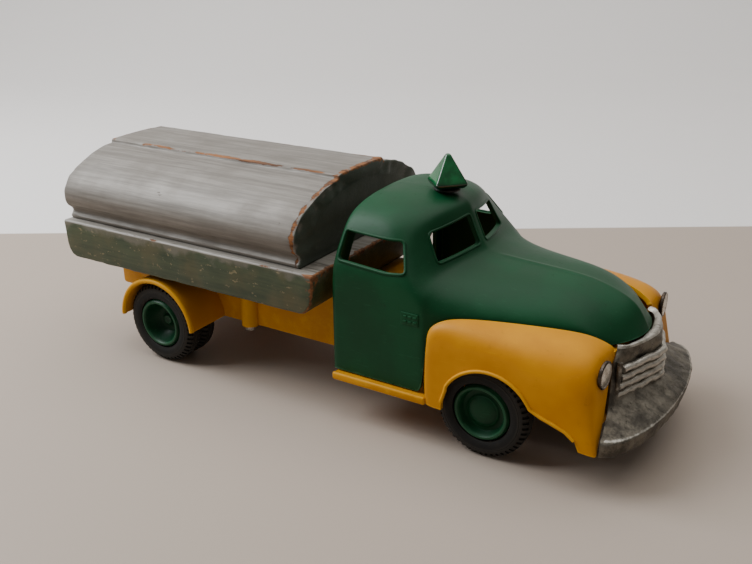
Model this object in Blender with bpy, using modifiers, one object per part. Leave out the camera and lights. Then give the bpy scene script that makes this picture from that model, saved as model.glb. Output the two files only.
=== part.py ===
"""Toy tanker truck: moulded cab and chassis, wooden tank, cast mask, rubber tyres.

Frame: +X towards the bonnet, +Y towards the truck's left side, +Z up. The origin is on
the ground under the middle of the overall length. Sizes below are in millimetres, and
MM turns them into Blender's metres.
"""
import math

import bmesh
import bpy
from mathutils import Matrix, Vector

MM = 0.001
GAP = 0.3                    # space left between two pieces that touch

# Wheels and axles
TYRE_R = 16.0
TYRE_W = 7.6
RIM_R = 10.0                 # bead seat of a tyre
WHEELBASE = 137.7
FRONT_X = 65.3
REAR_X = FRONT_X - WHEELBASE
FRONT_FACE_Y = 39.0          # outer face of a front tyre
REAR_FACE_Y = 41.2           # outer face of the outer rear tyre
TWIN_PITCH = 8.2             # from one rear tyre to its twin
AXLE_R = 1.25
BORE_R = AXLE_R + 0.35

# Chassis
FRAME_HALF_W = 24.0
FRAME_TOP = 36.5
FRAME_LOW = 17.0
FRAME_WALL = 2.2
TAIL_X = -109.0
GUARD_R = 18.9               # outer radius of a rear mudguard
HALF_W = 43.1                # half of the overall width
BOARD_STEP_Z = 17.4          # top of a running board
STEP_THICK = 3.0
BOSS_X = -39.8               # round bosses on the frame's sides
BOSS_Y = 24.6
SCREW_R = 1.3

# Wooden body
DECK_REAR = -118.2
DECK_FRONT = 4.0
DECK_LOW = FRAME_TOP + GAP
DECK_TOP = 51.9
TANK_REAR = -117.3
TANK_FRONT = -3.4
TANK_HALF_W = 42.1
TANK_MID_Z = 61.9            # height of the tank's widest line
TANK_RISE = 16.9             # from there up to the crown
STRIP_HALF_W = 14.9
STRIP_TOP = 79.4

# Cab and bonnet
CAB_REAR = 8.2
CAB_HALF_W = 39.2
CAB_WALL = 1.6
SILL_Z = BOARD_STEP_Z + GAP
BONNET_HEM_Z = 42.9          # lower edge of the bonnet, on the wings' inner edges
NOSE_HEM_Z = 39.4            # and at the nose, on the mask's lip
POST_X = 80.0                # post under the bonnet

# Mask
MASK_WALL = 1.6
PANEL_X = 98.5               # rear face of the chassis's front panel
MASK_SCREW_Y = 12.0
MASK_SCREW_Z = 29.0

# Headlights and roof lamp
HEADLIGHT_X = 102.0
HEADLIGHT_Y = 31.0
HEADLIGHT_Z = 36.0
LAMP_SPLAY = math.radians(4)
LAMP_X = 31.7
LAMP_TOP = 88.1
LAMP_LOW = 76.5


def clear_scene():
    for obj in list(bpy.data.objects):
        bpy.data.objects.remove(obj, do_unlink=True)


def make_collection(name):
    coll = bpy.data.collections.new(name)
    bpy.context.scene.collection.children.link(coll)
    return coll


def make_material(name, colour, roughness, metallic=0.0):
    mat = bpy.data.materials.new(name)
    mat.use_nodes = True
    shader = mat.node_tree.nodes["Principled BSDF"]
    shader.inputs["Base Color"].default_value = (*colour, 1.0)
    shader.inputs["Roughness"].default_value = roughness
    shader.inputs["Metallic"].default_value = metallic
    return mat


def link_mesh(name, mesh, mat, coll):
    mesh.materials.clear()
    mesh.materials.append(mat)
    obj = bpy.data.objects.new(name, mesh)
    coll.objects.link(obj)
    return obj


def from_bmesh(name, bm, mat, coll):
    mesh = bpy.data.meshes.new(name)
    bm.to_mesh(mesh)
    bm.free()
    return link_mesh(name, mesh, mat, coll)


def freeze(obj):
    """Turn the object's modifiers, or its curve, into a plain mesh in world space."""
    depsgraph = bpy.context.evaluated_depsgraph_get()
    mesh = bpy.data.meshes.new_from_object(obj.evaluated_get(depsgraph))
    mesh.transform(obj.matrix_world)
    name = obj.name
    mat = obj.data.materials[0]
    coll = obj.users_collection[0]
    bpy.data.objects.remove(obj, do_unlink=True)
    bm = bmesh.new()
    bm.from_mesh(mesh)
    bmesh.ops.remove_doubles(bm, verts=bm.verts, dist=0.00001)
    bm.to_mesh(mesh)
    bm.free()
    plain = link_mesh(name, mesh, mat, coll)
    plain.name = name
    return plain


def face_out(obj):
    """Turn every face of a closed piece outwards."""
    bm = bmesh.new()
    bm.from_mesh(obj.data)
    bmesh.ops.recalc_face_normals(bm, faces=bm.faces)
    bm.to_mesh(obj.data)
    bm.free()


def combine(obj, other, operation):
    """Boolean with a tool object, which is used up."""
    mod = obj.modifiers.new(operation.lower(), "BOOLEAN")
    mod.operation = operation
    mod.object = other
    mod.solver = "EXACT"
    result = freeze(obj)
    bpy.data.objects.remove(other, do_unlink=True)
    return result


def box(name, low, high, mat, coll, bevel=0.0):
    bm = bmesh.new()
    bmesh.ops.create_cube(bm, size=1.0)
    size = Vector(high) - Vector(low)
    middle = (Vector(high) + Vector(low)) / 2
    bmesh.ops.scale(bm, vec=size * MM, verts=bm.verts)
    bmesh.ops.translate(bm, vec=middle * MM, verts=bm.verts)
    obj = from_bmesh(name, bm, mat, coll)
    if bevel:
        mod = obj.modifiers.new("bevel", "BEVEL")
        mod.width = bevel * MM
        mod.segments = 2
        obj = freeze(obj)
    return obj


def rod(name, start, end, radius, mat, coll, sides=20):
    """A round bar from start to end."""
    start = Vector(start) * MM
    end = Vector(end) * MM
    bm = bmesh.new()
    bmesh.ops.create_cone(bm, cap_ends=True, segments=sides, radius1=radius * MM,
                          radius2=radius * MM, depth=(end - start).length)
    turn = (end - start).to_track_quat("Z", "Y").to_matrix().to_4x4()
    bmesh.ops.transform(bm, matrix=Matrix.Translation((start + end) / 2) @ turn, verts=bm.verts)
    return from_bmesh(name, bm, mat, coll)


def slab(name, outline, low, high, axis, mat, coll):
    """A flat outline, given in the two other axes, pushed from low to high along an axis."""
    curve = bpy.data.curves.new(name, "CURVE")
    curve.dimensions = "2D"
    curve.fill_mode = "BOTH"
    curve.extrude = (high - low) / 2 * MM
    spline = curve.splines.new("POLY")
    spline.points.add(len(outline) - 1)
    for point, (a, b) in zip(spline.points, outline):
        point.co = (a * MM, b * MM, 0.0, 1.0)
    spline.use_cyclic_u = True
    curve.materials.append(mat)
    obj = bpy.data.objects.new(name, curve)
    coll.objects.link(obj)
    middle = (low + high) / 2 * MM
    if axis == "Y":                      # outline in X and Z
        obj.matrix_world = Matrix.Translation((0, middle, 0)) @ Matrix.Rotation(math.pi / 2, 4, "X")
    elif axis == "X":                    # outline in Y and Z
        basis = Matrix(((0, 0, 1), (1, 0, 0), (0, 1, 0))).to_4x4()
        obj.matrix_world = Matrix.Translation((middle, 0, 0)) @ basis
    else:                                # outline in X and Y
        obj.matrix_world = Matrix.Translation((0, 0, middle))
    bpy.context.view_layer.update()
    return freeze(obj)


def turned(name, profile, centre, mat, coll, side=1, steps=24):
    """A turned piece on an axis along Y. The profile holds (radius, distance out along the
    axis) and runs down its outer side, from the outer end to the inner end. side is -1 for
    a piece on the truck's right."""
    bm = bmesh.new()
    points = [bm.verts.new((r * MM, 0.0, out * MM)) for r, out in profile]
    for a, b in zip(points, points[1:]):
        bm.edges.new((a, b))
    if profile[0][0] > 0:
        bm.edges.new((points[-1], points[0]))
    obj = from_bmesh(name, bm, mat, coll)
    mod = obj.modifiers.new("screw", "SCREW")
    mod.axis = "Z"
    mod.steps = steps
    mod.render_steps = steps
    mod.use_merge_vertices = True
    mod.merge_threshold = 0.00001
    turn = Matrix.Rotation(-side * math.pi / 2, 4, "X")
    obj.matrix_world = Matrix.Translation(Vector(centre) * MM) @ turn
    bpy.context.view_layer.update()
    obj = freeze(obj)
    face_out(obj)
    obj.data.shade_smooth()
    obj.data.set_sharp_from_angle(angle=math.radians(40))
    return obj


def skin(name, rows, wall, mat, coll, inward=-1.0, mirrored=False, levels=1):
    """A sheet through a coarse grid of points, rounded by subdivision, with a wall. inward
    is the side of the sheet that the wall stands on, against its faces' normals."""
    bm = bmesh.new()
    grid = [[bm.verts.new(Vector(p) * MM) for p in row] for row in rows]
    for near, far in zip(grid, grid[1:]):
        for i in range(len(near) - 1):
            bm.faces.new((near[i], near[i + 1], far[i + 1], far[i]))
    obj = from_bmesh(name, bm, mat, coll)
    if mirrored:
        mod = obj.modifiers.new("mirror", "MIRROR")
        mod.use_axis = (False, True, False)
        mod.use_clip = True
        mod.merge_threshold = 0.00005
    if levels:
        mod = obj.modifiers.new("subdivide", "SUBSURF")
        mod.levels = levels
        mod.render_levels = levels
    mod = obj.modifiers.new("wall", "SOLIDIFY")
    mod.thickness = wall * MM
    mod.offset = inward
    mod.use_even_offset = False
    obj = freeze(obj)
    face_out(obj)
    return obj


# ---------------------------------------------------------------- wheels

def tyre_profile(width):
    half = width / 2
    outer = [(RIM_R, half - 0.8), (RIM_R + 2.2, half), (TYRE_R - 1.2, half - 0.5), (TYRE_R, half - 2.2)]
    return outer + [(r, -out) for r, out in reversed(outer)]


def build_tyres(mat, coll):
    for label, side in (("right", -1), ("left", 1)):
        front = side * (FRONT_FACE_Y - TYRE_W / 2)
        turned(f"tyre_front_{label}", tyre_profile(TYRE_W), (FRONT_X, front, TYRE_R), mat, coll, side)
        outer = REAR_FACE_Y - TYRE_W / 2
        for place, reach in (("outer", outer), ("inner", outer - TWIN_PITCH)):
            turned(f"tyre_rear_{place}_{label}", tyre_profile(TYRE_W),
                   (REAR_X, side * reach, TYRE_R), mat, coll, side)


def build_hubs(mat, coll):
    seat = RIM_R - GAP
    bore = AXLE_R + GAP
    for label, side in (("right", -1), ("left", 1)):
        # Front hub: a raised ring, a moat and a low domed cap. Out is measured from the
        # tyre's outer face, so every other number here is negative.
        domed = [(0, -0.9), (3.4, -1.3), (5.4, -2.6), (7.2, -2.6), (8.2, 0.0), (9.2, 0.0),
                 (seat, -0.9), (seat, -TYRE_W), (4.2, -TYRE_W), (4.2, -10.6), (bore, -10.6),
                 (bore, -3.6), (0, -3.6)]
        turned(f"hub_front_{label}", domed, (FRONT_X, side * FRONT_FACE_Y, TYRE_R), mat, coll, side, 16)
        # Rear hub: a deep dish with a small boss, long enough for twin tyres.
        reach = TWIN_PITCH + TYRE_W
        dished = [(0, -4.4), (1.8, -4.6), (2.2, -6.2), (5.0, -6.2), (7.6, -1.8), (8.2, 0.0),
                  (9.2, 0.0), (seat, -0.9), (seat, -reach), (4.2, -reach),
                  (4.2, -reach - 0.6), (bore, -reach - 0.6), (bore, -7.6), (0, -7.6)]
        turned(f"hub_rear_{label}", dished, (REAR_X, side * REAR_FACE_Y, TYRE_R), mat, coll, side, 16)


def build_axles(mat, coll):
    front = FRONT_FACE_Y - 3.6 - GAP
    rear = REAR_FACE_Y - 7.6 - GAP
    rod("axle_front", (FRONT_X, -front, TYRE_R), (FRONT_X, front, TYRE_R), AXLE_R, mat, coll)
    rod("axle_rear", (REAR_X, -rear, TYRE_R), (REAR_X, rear, TYRE_R), AXLE_R, mat, coll)


# ---------------------------------------------------------------- wooden body

def tank_outline():
    """The tank's end view: a foot, a cove, and a half ellipse with a raised strip."""
    points = [(39.9, DECK_TOP + GAP), (39.9, 53.6), (38.7, 54.6), (39.3, 56.2)]
    step = math.asin((57.8 - TANK_MID_Z) / TANK_RISE)
    top = math.acos(STRIP_HALF_W / TANK_HALF_W)
    count = 12
    for i in range(count + 1):
        angle = step + (top - step) * i / count
        points.append((TANK_HALF_W * math.cos(angle), TANK_MID_Z + TANK_RISE * math.sin(angle)))
    points.append((STRIP_HALF_W - 0.2, STRIP_TOP - 1.0))
    points.append((STRIP_HALF_W - 1.0, STRIP_TOP - 0.4))
    points.append((7.0, STRIP_TOP))
    return points + [(-y, z) for y, z in reversed(points)]


def build_tank(mat, coll):
    tank = slab("tank_body", tank_outline(), TANK_REAR, TANK_FRONT, "X", mat, coll)
    mod = tank.modifiers.new("worn_edges", "BEVEL")
    mod.width = 0.9 * MM
    mod.segments = 1
    mod.limit_method = "ANGLE"
    mod.angle_limit = math.radians(60)
    return freeze(tank)


def build_deck(mat, tool_mat, coll, tools):
    """The flat board under the tank, with its lower ends rounded off."""
    low = DECK_LOW
    outline = [(DECK_REAR, DECK_TOP), (DECK_REAR + 0.4, low + 6.0), (DECK_REAR + 1.6, low + 2.2),
               (DECK_REAR + 4.6, low), (DECK_FRONT - 6.2, low), (DECK_FRONT - 3.4, low + 1.0),
               (DECK_FRONT - 1.2, low + 4.4), (DECK_FRONT, DECK_TOP)]
    deck = slab("deck_board", outline, -HALF_W, HALF_W, "Y", mat, coll)
    for y in (-BOSS_Y, BOSS_Y):
        hole = rod("screw_hole_tool", (BOSS_X, y, 30), (BOSS_X, y, DECK_LOW + 6), SCREW_R + GAP, tool_mat,
                   tools, 16)
        deck = combine(deck, hole, "DIFFERENCE")
    mod = deck.modifiers.new("worn_edges", "BEVEL")
    mod.width = 0.9 * MM
    mod.segments = 1
    mod.limit_method = "ANGLE"
    mod.angle_limit = math.radians(60)
    return freeze(deck)


# ---------------------------------------------------------------- cab

def cab_rows():
    """Half of the cab and bonnet, rear to nose. Each row runs from the roof's or bonnet's
    centre line out over the shoulder and down the side."""
    wide = CAB_HALF_W
    low = SILL_Z
    hem = BONNET_HEM_Z
    nose = NOSE_HEM_Z
    return [
        [(8.7, 0, 68.0), (8.7, 12, 67.8), (8.7, 20, 66.9), (8.7, 24.5, 64.5), (8.7, 27.5, 60),
         (8.7, 31.0, 54), (8.7, 32.5, 49), (8.7, 32.5, 34), (8.7, 32.5, low)],
        [(CAB_REAR, 0, 74.2), (CAB_REAR, 13, 73.8), (CAB_REAR, 22.4, 72.3), (CAB_REAR, 28.8, 69.4),
         (CAB_REAR, 32.8, 64), (CAB_REAR, 38.1, 57), (CAB_REAR, wide, 50.5), (CAB_REAR, wide, 34),
         (CAB_REAR, wide, low)],
        [(11.5, 0, 75.6), (11.5, 13.3, 75.2), (11.5, 23, 73.6), (11.5, 29.6, 70.4), (11.5, 33.3, 64.4),
         (11.5, 38.5, 57), (11.5, wide, 50.5), (11.5, wide, 34), (11.5, wide, low)],
        [(22, 0, 75.7), (22, 13.5, 75.3), (22, 23.5, 73.8), (22, 30, 70.7), (22, 33.5, 64.6),
         (22, 38.6, 57), (22, wide, 50.5), (22, wide, 34), (22, wide, low)],
        [(32.5, 0, 75.0), (31.5, 13.5, 74.6), (30, 23.8, 72.8), (28, 30.2, 69.6), (27.5, 33.9, 64),
         (27, 38.7, 57), (27, wide, 50.5), (27, wide, 34), (27, wide, low)],
        [(40, 0, 73.2), (38.2, 13.4, 72.4), (34.8, 24, 70.0), (31.5, 30.8, 66.8), (31.6, 34.4, 62.5),
         (32.6, 38.8, 56.8), (33, wide, 50.4), (33, wide, 34), (33, wide, low)],
        [(41.6, 0, 69.4), (39.4, 13, 68.4), (36.2, 24.6, 66.6), (34.2, 31.2, 64.2), (35.4, 35.2, 60.0),
         (37, 38.8, 55.6), (38, wide, 49.6), (38, wide, 34), (38, wide, low)],
        [(46.6, 0, 57.6), (44.8, 13, 57.0), (42, 25.4, 56.0), (40.4, 32.6, 55.2), (40.8, 36.8, 53.6),
         (41.5, 38.9, 51.2), (41.8, wide, 47), (41.8, wide, 33), (41.8, wide, low)],
        [(49, 0, 56.2), (47.4, 13, 55.8), (45, 25, 54.4), (44, 32.4, 53), (44, 36.4, 51.2),
         (44.1, 38.5, 48.8), (44.2, 39.1, 45), (44.3, wide, 33), (44.3, wide, low)],
        [(52, 0, 55.5), (51, 13, 55.1), (49.2, 24.4, 53.3), (48, 31, 51.2), (46.8, 34.8, 48.8),
         (45.8, 36.8, 46.6), (45.3, 37.8, 45.2), (45.1, 38.2, 44), (45, 38.3, hem)],
        [(60, 0, 54.8), (59, 12.6, 54.3), (58, 22.4, 52.2), (57, 28, 49.6), (56.6, 30.8, 47.4),
         (56.4, 32, 45.8), (56.2, 32.4, 44.8), (56, 32.6, 43.8), (56, 32.6, hem)],
        [(72, 0, 54.3), (72, 12, 53.7), (72, 20.2, 51.4), (72, 24.8, 48.8), (72, 27, 46.8),
         (72, 27.9, 45.6), (72, 28.1, 44.6), (72, 28.2, 43.8), (72, 28.2, hem)],
        [(86, 0, 53.4), (86, 10.8, 52.7), (86, 17.8, 50.4), (86, 21.6, 48.1), (86, 23.4, 46.4),
         (86, 24, 45.2), (86, 24.1, 44.4), (86, 24.1, 43.6), (86, 24.1, hem)],
        [(96, 0, 50.4), (95.2, 9.4, 48.0), (94.4, 15.2, 46.0), (93.8, 18.6, 44.8), (93.5, 20.2, 44.2),
         (93.4, 20.9, 43.6), (93.3, 21.2, 43.0), (93.3, 21.4, 42.3), (93.3, 21.4, 41.6)],
        [(102, 0, 46.8), (100.4, 7.4, 45.0), (98.4, 12.6, 43.6), (97.0, 16.4, 42.6), (96.4, 18.4, 42.0),
         (96.2, 19.2, 41.7), (96.1, 19.6, 41.4), (96, 19.9, 41.1), (96, 20, 40.8)],
        [(105.4, 0, nose), (104.9, 5.2, nose), (103.4, 9.8, nose), (101.4, 13.4, nose), (99.4, 16, nose),
         (98, 17.6, nose), (97.3, 18.6, nose), (96.8, 19.2, nose), (96.4, 19.6, nose)],
    ]


def cab_screw_places():
    """Where each cab screw crosses from the chassis into the cab."""
    foot_x = CAB_REAR + 4.6
    return [(POST_X, 0.0, FRAME_TOP), (foot_x, -35.2, BOARD_STEP_Z), (foot_x, 35.2, BOARD_STEP_Z)]


def build_cab(mat, tool_mat, coll, tools):
    cab = skin("cab_shell", cab_rows(), CAB_WALL, mat, coll, inward=1.0, mirrored=True)
    # Door windows, cut straight through both sides.
    window = [(10.8, 58.0), (10.8, 65.6), (11.8, 66.8), (31.4, 66.2), (32.6, 65.4), (36.2, 57.2),
              (29.6, 56.4), (11.6, 57.0)]
    cutter = slab("door_window_tool", window, -60, 60, "Y", tool_mat, tools)
    cab = combine(cab, cutter, "DIFFERENCE")
    # Split windscreen: one pane each side of the centre post, cut along X.
    for side in (-1, 1):
        pane = [(side * 1.9, 58.8), (side * 24.2, 57.6), (side * 22.8, 66.0), (side * 21.2, 66.8),
                (side * 1.9, 68.6)]
        cutter = slab("windscreen_tool", pane, 30, 60, "X", tool_mat, tools)
        cab = combine(cab, cutter, "DIFFERENCE")
    # A post under the bonnet and a foot in each rear corner take the fixing screws.
    post = rod("post_tool", (POST_X, 0, FRAME_TOP + GAP), (POST_X, 0, 53.0), 3.4, mat, tools)
    cab = combine(cab, post, "UNION")
    for side in (-1, 1):
        near, far = sorted((side * 32.0, side * 38.4))
        foot = box("foot_tool", (CAB_REAR + 1.0, near, SILL_Z), (CAB_REAR + 8.0, far, SILL_Z + 8.0), mat, tools)
        cab = combine(cab, foot, "UNION")
    for x, y, z in cab_screw_places():
        hole = rod("screw_hole_tool", (x, y, z - 1), (x, y, z + 6.4), SCREW_R + GAP, tool_mat, tools, 16)
        cab = combine(cab, hole, "DIFFERENCE")
    # Hole for the roof lamp's peg.
    cutter = rod("lamp_hole_tool", (LAMP_X, 0, 68), (LAMP_X, 0, 82), 2.2 + GAP, tool_mat, tools)
    cab = combine(cab, cutter, "DIFFERENCE")
    return cab


# ---------------------------------------------------------------- mask and lamps

def mask_rows():
    """Half of the cast mask, lip to bumper. Each row runs from the middle out to the edge;
    its plan goes from an ellipse at the lip and bumper to a V at the grille."""
    shape = [          # height, middle x, edge x, half width, share of a V in its plan
        (40.1, 108.2, 100.8, 17.4, 0.1), (36.4, 110.0, 101.1, 20.5, 0.7), (32.0, 109.4, 101.5, 23.2, 0.95),
        (24.4, 109.6, 102.4, 26.9, 0.9), (21.4, 114.2, 103.4, 31.4, 0.25), (18.6, 118.1, 104.8, 40.0, 0),
        (13.7, 117.2, 104.8, 40.6, 0)]
    columns = 8
    turns = [math.pi / 2 * i / columns for i in range(columns + 1)]
    rows = []
    for z, mid, edge, half, pointed in shape:
        plan = [(1 - pointed) * math.cos(t) + pointed * (1 - math.sin(t)) for t in turns]
        rows.append([(edge + (mid - edge) * p, half * math.sin(t), z) for p, t in zip(plan, turns)])
    return rows


def build_mask(mat, tool_mat, coll, tools):
    mask = skin("mask", mask_rows(), MASK_WALL, mat, coll, inward=1.0, mirrored=True, levels=0)
    # Its back edge is trimmed to stand clear of the wings' fronts.
    back = [(90, 50), (101.1, 50), (101.1, 34), (101.8, 29), (102.4, 25), (103.0, 21.6), (103.9, 19.6),
            (104.7, 18.4), (104.7, 10), (90, 10)]
    mask = combine(mask, slab("back_tool", back, -60, 60, "Y", tool_mat, tools), "DIFFERENCE")
    # Two pads at the back meet the chassis's front panel.
    for side in (-1, 1):
        pad = rod("pad_tool", (PANEL_X + 2.0 + GAP, side * MASK_SCREW_Y, MASK_SCREW_Z),
                  (104.6, side * MASK_SCREW_Y, MASK_SCREW_Z), 3.4, mat, tools)
        mask = combine(mask, pad, "UNION")
        hole = rod("screw_hole_tool", (PANEL_X, side * MASK_SCREW_Y, MASK_SCREW_Z),
                   (PANEL_X + 5.4, side * MASK_SCREW_Y, MASK_SCREW_Z), SCREW_R + GAP, tool_mat, tools, 16)
        mask = combine(mask, hole, "DIFFERENCE")
    # Grille bars stand off the recess and follow its V.
    for row in range(4):
        z = 33.45 - 2.8 * row
        reach = 18.4 + 0.5 * row
        bar = [(111.0 - 0.37 * math.hypot(y, 1.6), y) for y in (-reach, -reach / 2, -1, 1, reach / 2, reach)]
        rear = [(x - 1.4, y) for x, y in reversed(bar)]
        front = [(x + 0.8, y) for x, y in bar]
        piece = slab("bar_tool", front + rear, z - 0.85, z + 0.85, "Z", mat, tools)
        mask = combine(mask, piece, "UNION")
    return mask


def build_headlights(mat, coll):
    """A domed stud with a shank that pushes into the wing's front."""
    for label, side in (("right", -1), ("left", 1)):
        profile = [(0, 0.6), (1.6, 0.5), (3.7, 0.1), (4.2, 0.2), (4.5, -0.1), (4.5, -0.8), (4.2, -1.0),
                   (1.5, -1.0), (1.5, -5.4), (0, -5.4)]
        place = headlight_place(side)
        lamp = turned(f"headlight_{label}", profile, (0, 0, 0), mat, coll, 1, 16)
        turn = Matrix.Rotation(side * LAMP_SPLAY - math.pi / 2, 4, "Z")
        lamp.data.transform(Matrix.Translation(Vector(place) * MM) @ turn)


def headlight_place(side):
    return (HEADLIGHT_X, side * HEADLIGHT_Y, HEADLIGHT_Z)


def build_roof_lamp(green, black, coll):
    """A four-sided pyramid sign, one edge forward, on a turned peg."""
    bm = bmesh.new()
    levels = [(LAMP_LOW, 6.2), (LAMP_LOW + 0.9, 8.0), (LAMP_LOW + 1.9, 8.0), (LAMP_TOP, 1.0)]
    rings = []
    for z, reach in levels:
        corners = [(reach, 0), (0, reach), (-reach, 0), (0, -reach)]
        rings.append([bm.verts.new(Vector((LAMP_X + x, y, z)) * MM) for x, y in corners])
    for low, high in zip(rings, rings[1:]):
        for i in range(4):
            bm.faces.new((low[i], low[(i + 1) % 4], high[(i + 1) % 4], high[i]))
    bm.faces.new(list(reversed(rings[0])))
    bm.faces.new(rings[-1])
    lamp = from_bmesh("roof_lamp", bm, green, coll)
    mod = lamp.modifiers.new("soft_edges", "BEVEL")
    mod.width = 0.7 * MM
    mod.segments = 2
    freeze(lamp)
    top = LAMP_LOW - GAP
    peg = [(0, top), (4.6, top), (4.8, top - 0.3), (4.8, top - 0.7), (2.2, top - 0.7), (2.2, 70.4), (0, 70.4)]
    obj = turned("lamp_peg", peg, (0, 0, 0), black, coll, 1, 24)
    obj.data.transform(Matrix.Translation((LAMP_X * MM, 0, 0)) @ Matrix.Rotation(math.pi / 2, 4, "X"))


# ---------------------------------------------------------------- fasteners

def screw(name, seat, direction, length, mat, coll):
    """A round-headed screw: the head's under side is at seat and the shank runs on."""
    seat = Vector(seat)
    direction = Vector(direction)
    shank = rod(name, seat - direction * 0.4, seat + direction * length, SCREW_R, mat, coll, 12)
    head = rod("head_tool", seat - direction * 1.4, seat, 2.3, mat, coll, 16)
    return combine(shank, head, "UNION")


def build_screws(mat, coll):
    for label, side in (("right", -1), ("left", 1)):
        screw(f"deck_screw_{label}", (BOSS_X, side * BOSS_Y, FRAME_LOW - GAP), (0, 0, 1), 25.0, mat, coll)
        screw(f"mask_screw_{label}", (PANEL_X - GAP, side * MASK_SCREW_Y, MASK_SCREW_Z), (1, 0, 0), 5.2,
              mat, coll)
    plate = {FRAME_TOP: FRAME_WALL, BOARD_STEP_Z: STEP_THICK}
    for label, (x, y, z) in zip(("front", "right", "left"), cab_screw_places()):
        low = z - plate[z] - GAP
        screw(f"cab_screw_{label}", (x, y, low), (0, 0, 1), z - low + 5.4, mat, coll)


# ---------------------------------------------------------------- moving bodies

def hang_on_axle(name, x, pieces, coll):
    """Parent one axle's pieces to an empty on that axle's line."""
    pivot = bpy.data.objects.new(name, None)
    pivot.location = Vector((x, 0.0, TYRE_R)) * MM
    coll.objects.link(pivot)
    bpy.context.view_layer.update()
    for piece in pieces:
        piece.parent = pivot
        piece.matrix_parent_inverse = pivot.matrix_world.inverted()


def hang_wheels(coll):
    for end, x in (("front", FRONT_X), ("rear", REAR_X)):
        starts = (f"tyre_{end}", f"hub_{end}", f"axle_{end}")
        pieces = [obj for obj in coll.objects if obj.name.startswith(starts)]
        hang_on_axle(f"{end}_wheelset", x, pieces, coll)


# ---------------------------------------------------------------- chassis

def wing_rows(side):
    """One front wing, rear edge to front inner edge. Each row runs from the joint with the
    bonnet out over the top and down to the lower edge."""
    out = HALF_W - 1.3
    rows = [
        [(45.9, 39.6, 39.0), (45.9, 39.6, 36.0), (45.9, 39.6, 31), (45.9, 39.6, 26), (45.9, 39.6, 20),
         (45.9, 39.6, 16.5)],
        [(47.0, 39.2, 42.6), (46.4, 40.4, 41.0), (46, 41.3, 37.5), (45.8, 41.5, 28), (45.8, 41.5, 20),
         (46.4, 41.4, 15.2)],
        [(51.4, 36.2, 44.9), (50.6, 39.4, 44.0), (49.6, 41.4, 40), (48.8, out, 30), (48.6, out, 20),
         (49.4, out, 14.9)],
        [(60, 32.5, 45.2), (60, 37.4, 44.9), (60, 41, 41.4), (60, out, 32), (60, out, 22), (60, out, 14.9)],
        [(74, 28.1, 45.0), (74, 35.2, 44.2), (74, 40.6, 41), (74, out, 32), (74, out, 22), (74, out, 14.9)],
        [(86, 24.8, 44.7), (86, 33.2, 44.0), (86, 40, 40.4), (86, out, 31), (86, out, 22), (86, out, 14.9)],
        [(93, 22.4, 43.9), (94.6, 31.2, 43.1), (95.8, 38.6, 39.2), (96.2, 41.4, 31), (96.8, out, 22),
         (98, out, 14.4)],
        [(97.6, 20.9, 42.1), (99.2, 29, 41.6), (100.4, 36, 37.8), (101.2, 39.2, 30.5), (102, 41, 22),
         (102.8, 41.7, 13.9)],
        [(100.3, 19.9, 40.4), (100.9, 26.4, 39.6), (101.4, 31.4, 35.6), (102, 35.4, 29.5), (103.2, 38.8, 22),
         (104.3, 41.2, 13.9)],
        [(100.5, 19.5, 39.5), (100.6, 21.4, 37.2), (100.8, 23.2, 33.6), (101.4, 25.6, 28), (102.4, 30.5, 22),
         (104.2, 40.4, 13.9)],
    ]
    return [[(x, side * y, z) for x, y, z in row] for row in rows]


def arch_outline():
    """Opening of a front wheel arch in X and Z, rear foot over the wheel to the front foot."""
    points = [(52.2, 5.0), (52.6, 18.0), (54.0, 22.5)]
    for i in range(9):
        angle = math.radians(152 - 124 * i / 8)
        points.append((68.6 + 16.2 * math.cos(angle), 16.6 + 16.0 * math.sin(angle)))
    points += [(86.6, 22.4), (94.5, 19.8), (97.4, 17.6), (99.0, 14.0), (99.4, 5.0)]
    return points


def guard_outline():
    """A rear mudguard's arched sheet, seen from the side."""
    ends = math.radians(3)
    inner = GUARD_R - 1.8
    count = 20
    arc = [ends + (math.pi - 2 * ends) * i / count for i in range(count + 1)]
    outer_arc = [(REAR_X + GUARD_R * math.cos(a), TYRE_R + GUARD_R * math.sin(a)) for a in arc]
    inner_arc = [(REAR_X + inner * math.cos(a), TYRE_R + inner * math.sin(a)) for a in reversed(arc)]
    return outer_arc + inner_arc


def build_guards(mat, coll):
    """Rear mudguards, each against the frame's side."""
    for label, side in (("right", -1), ("left", 1)):
        near, far = sorted((side * (FRAME_HALF_W + GAP), side * HALF_W))
        slab(f"mudguard_{label}", guard_outline(), near, far, "Y", mat, coll)


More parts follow.
